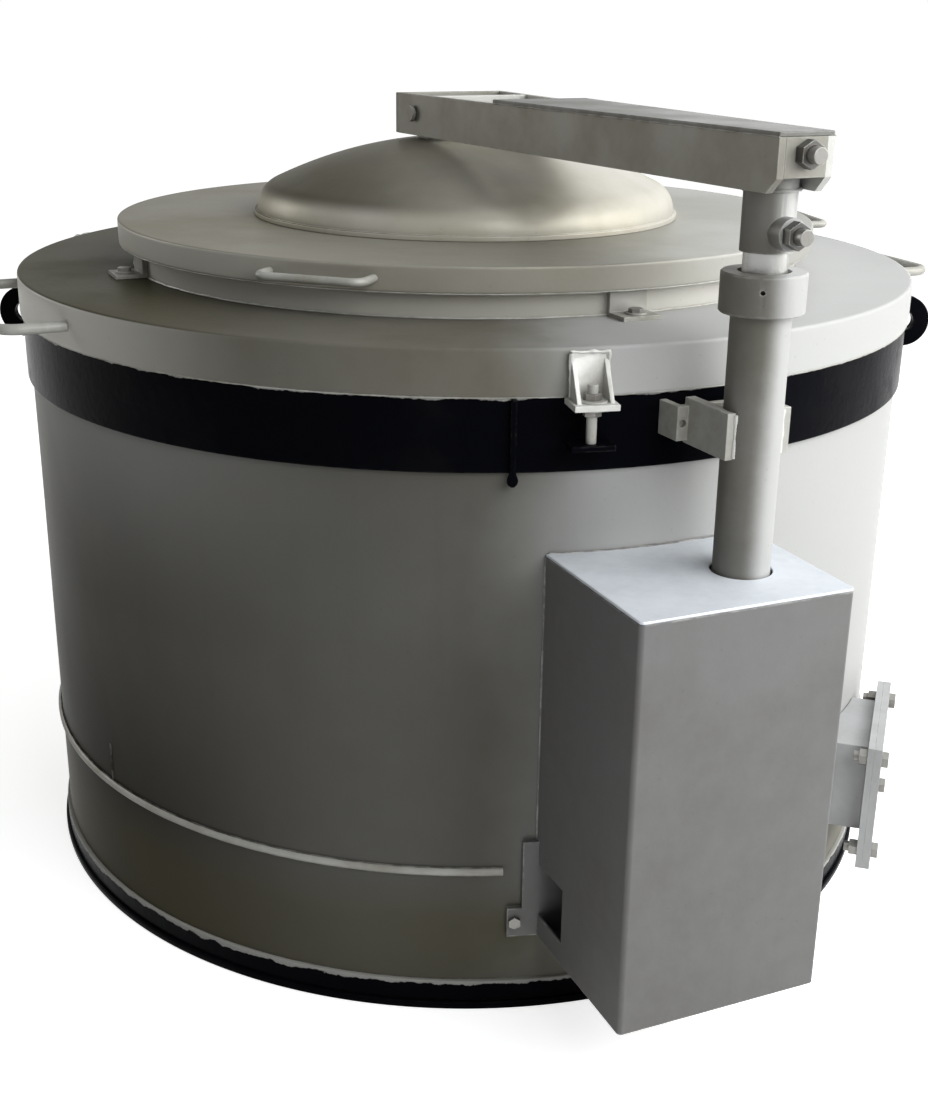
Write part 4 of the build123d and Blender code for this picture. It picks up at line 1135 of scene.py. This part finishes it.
# The box is folded sheet, so its edges get one more step and come out rounder.
FOLDED = (box_silver, box_top_painted_light)
for material, bevel, nodes in DRESSED:
    for node in nodes:
        dress(node, material, bevel, 3 if material in FOLDED else 2)

# %% [markdown]
# ## Small pieces that the hand has left uneven
# Some pieces were cut and welded on by hand, and no bevel makes them look so. The tongue of
# the band is a ragged strip with a ball of weld at its end. The hold-down plates have a
# lumpy weld round them, and washers lie under their nuts.

# %% Tongue of the band
TONGUE_TURN = Matrix.Rotation(math.radians(-85), 3, "Z")
TONGUE_HALF = 0.0062
TONGUE_ROWS = 46
TONGUE_SIDES = 14
BALL_HALF = 0.0078
tongue_low, tongue_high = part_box("band_tongue")
tongue_back = band_radius + FIT
tongue_out = band_radius + 0.008
tongue_middle = (tongue_back + tongue_out) / 2
ball_middle = tongue_low.z + 0.008


def squared(share):
    """Pushes a circle's sine or cosine outwards, so that the section comes out almost square."""
    return math.copysign(abs(share) ** 0.6, share)


rows = []
for i in range(TONGUE_ROWS + 1):
    height = tongue_low.z + (tongue_high.z - tongue_low.z) * i / TONGUE_ROWS
    ragged = 0.0014 * noise.noise(Vector((height / 0.006, 3.1, 0)))
    half = TONGUE_HALF * 0.72 + ragged
    if height < ball_middle + 0.006:
        reach = max(0.05, 1 - ((height - ball_middle) / 0.0085) ** 2)
        half = max(TONGUE_HALF * 0.4, BALL_HALF * math.sqrt(reach))
    row = []
    for k in range(TONGUE_SIDES):
        turn = 2 * math.pi * k / TONGUE_SIDES
        side = half * squared(math.cos(turn))
        depth = squared(math.sin(turn))
        lump = 0.0006 * noise.noise(Vector((height / 0.004, turn, 9)))
        out_radius = tongue_middle + (tongue_out - tongue_back) / 2 * depth + lump * (depth > 0)
        row.append(TONGUE_TURN @ Vector((out_radius, side, height)))
    rows.append(row)
add_piece("ragged_tongue", grid_mesh("ragged_tongue", rows, closed=False), "band_tongue", lug_black)

# %% Washers under nuts and heads
WASHER = 0.0024
LEAF_TOP = cover_low.z
LEAF_BOTTOM = LEAF_TOP - 0.008
HOLD_AZIMUTHS = (-77.7, 42.3, 162.3)
CLAMP_AZIMUTHS = (-66, -156, 114, 24)


def washer(name, node, radius, azimuth, low, inner, outer):
    centre = on_circle(radius, low, math.radians(azimuth))
    section = flat_ring(inner, outer, low, low + WASHER, 0.0007, 2)
    add_piece(name, ring_mesh(name, section, 40, centre), node, fitting_silver, instead=False)


for azimuth in HOLD_AZIMUTHS:
    for level, low in (("upper", LEAF_TOP), ("lower", LEAF_BOTTOM - WASHER)):
        name = f"washer_{level}_{azimuth}"
        washer(name, "hold_down_nuts", cover_radius + 0.025, azimuth, low, 0.0115, 0.0205)
for azimuth in CLAMP_AZIMUTHS:
    name = f"washer_clamp_{azimuth}"
    low = cover_high.z + 0.006
    washer(name, "mouth_clamp_bolts", SKIRT_RADIUS + 0.030, azimuth, low, 0.0085, 0.0150)

# %% Welds round the hold-down plates
HOLD_HALF = 0.025
HOLD_TOP = cover_high.z - 0.005
HOLD_FACE = cover_radius + 0.0075
plate_foot = LEAF_TOP + 0.002
outline = [(-HOLD_HALF, plate_foot), (-HOLD_HALF, HOLD_TOP), (HOLD_HALF, HOLD_TOP), (HOLD_HALF, plate_foot)]
for azimuth in HOLD_AZIMUTHS:
    turned_by = Matrix.Rotation(math.radians(azimuth), 3, "Z")
    seam = [turned_by @ Vector((HOLD_FACE, side, height)) for side, height in outline]
    weld("hold_down_brackets", seam, 0.0028, pale_silver, uneven=0.8)
    ends = (-HOLD_HALF + 0.004, HOLD_HALF - 0.004)
    seam = [turned_by @ Vector((HOLD_FACE + 0.001, side, LEAF_TOP + 0.001)) for side in ends]
    weld("hold_down_brackets", seam, 0.0022, pale_silver, uneven=0.6)

# %% [markdown]
# ## Welds at the mast, the box and the arm
# A tie with two cheeks holds the mast to the cover, the box is welded to the drum's curved
# wall, and the arm's plates are welded along their edges. The box stands a little askew of
# the mast, so its seams are worked out in its own turned frame, where the wall is an arc.

# %% Welds at the mast and the box
MAST_AZIMUTH = -64.76
BOX_AZIMUTH = -66.76
BOX_LEFT, BOX_RIGHT = -0.1845, 0.1275
BOX_WELD_FOOT = 0.285
mast_turn = Matrix.Rotation(math.radians(MAST_AZIMUTH), 3, "Z")
box_turn = Matrix.Rotation(math.radians(BOX_AZIMUTH), 3, "Z")
collar_low, collar_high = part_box("mast_collar")
mast_middle = (collar_low + collar_high) / 2
tie_low, tie_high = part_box("tie_bracket")
box_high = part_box("box_top")[1]
for side in (-1, 1):
    foot = mast_turn @ Vector((0.0145, side * 0.0362, 0))
    x, y = mast_middle.x + foot.x, mast_middle.y + foot.y
    seam = [(x, y, tie_low.z + 0.002), (x, y, tie_high.z - 0.002)]
    weld("tie_bracket", seam, 0.0022, pale_silver, uneven=0.7)


def on_wall(side, height, out):
    """A point of the drum's wall, by its distance from the box's middle line."""
    return box_turn @ Vector((math.sqrt((drum_radius + out) ** 2 - side ** 2), side, height))


for side in (BOX_LEFT, BOX_RIGHT):
    seam = [on_wall(side, height, 0.001) for height in (BOX_WELD_FOOT, box_high.z - 0.004)]
    weld("lift_box", seam, 0.0020, box_silver)
seam = []
for i in range(25):
    side = BOX_LEFT + 0.004 + (BOX_RIGHT - BOX_LEFT - 0.008) * i / 24
    seam.append(on_wall(side, box_high.z - 0.0005, 0.0015))
weld("box_top", seam, 0.0020, box_silver)

# %% Welds along the arm
ARM_AT_MAST = 0.0433
ARM_AT_TIP = 0.100
ARM_LENGTH = 0.920
ARM_REAR = -0.062
TOP_PLATE_END = 0.600
SLEEVE_RADIUS = 0.0345
arm_low, arm_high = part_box("arm_side_near")
arm_turn = Matrix.Rotation(math.radians(MAST_AZIMUTH + 180), 3, "Z")


def on_arm(along, side, height):
    spot = arm_turn @ Vector((along, side, 0))
    return Vector((mast_middle.x + spot.x, mast_middle.y + spot.y, height))


def arm_half_width(along):
    return ARM_AT_MAST + (ARM_AT_TIP - ARM_AT_MAST) * along / ARM_LENGTH


for hand in (-1, 1):
    seam = []
    for along in (ARM_REAR, TOP_PLATE_END):
        seam.append(on_arm(along, hand * (arm_half_width(along) + 0.0002), arm_high.z))
    weld("arm_top_plate", seam, 0.0012, arm_silver, uneven=0.5)
    for side in (hand * (ARM_AT_TIP - 0.0008), hand * (ARM_AT_TIP - 0.0092)):
        seam = [on_arm(ARM_LENGTH, side, height) for height in (arm_low.z + 0.001, arm_high.z - 0.001)]
        weld("arm_end_plate", seam, 0.0012, arm_silver, uneven=0.5)
seam = circle(SLEEVE_RADIUS, arm_low.z + 0.0005, (mast_middle.x, mast_middle.y), step=0.004)
weld("arm_sleeve", seam, 0.0024, mast_silver, closed=True)
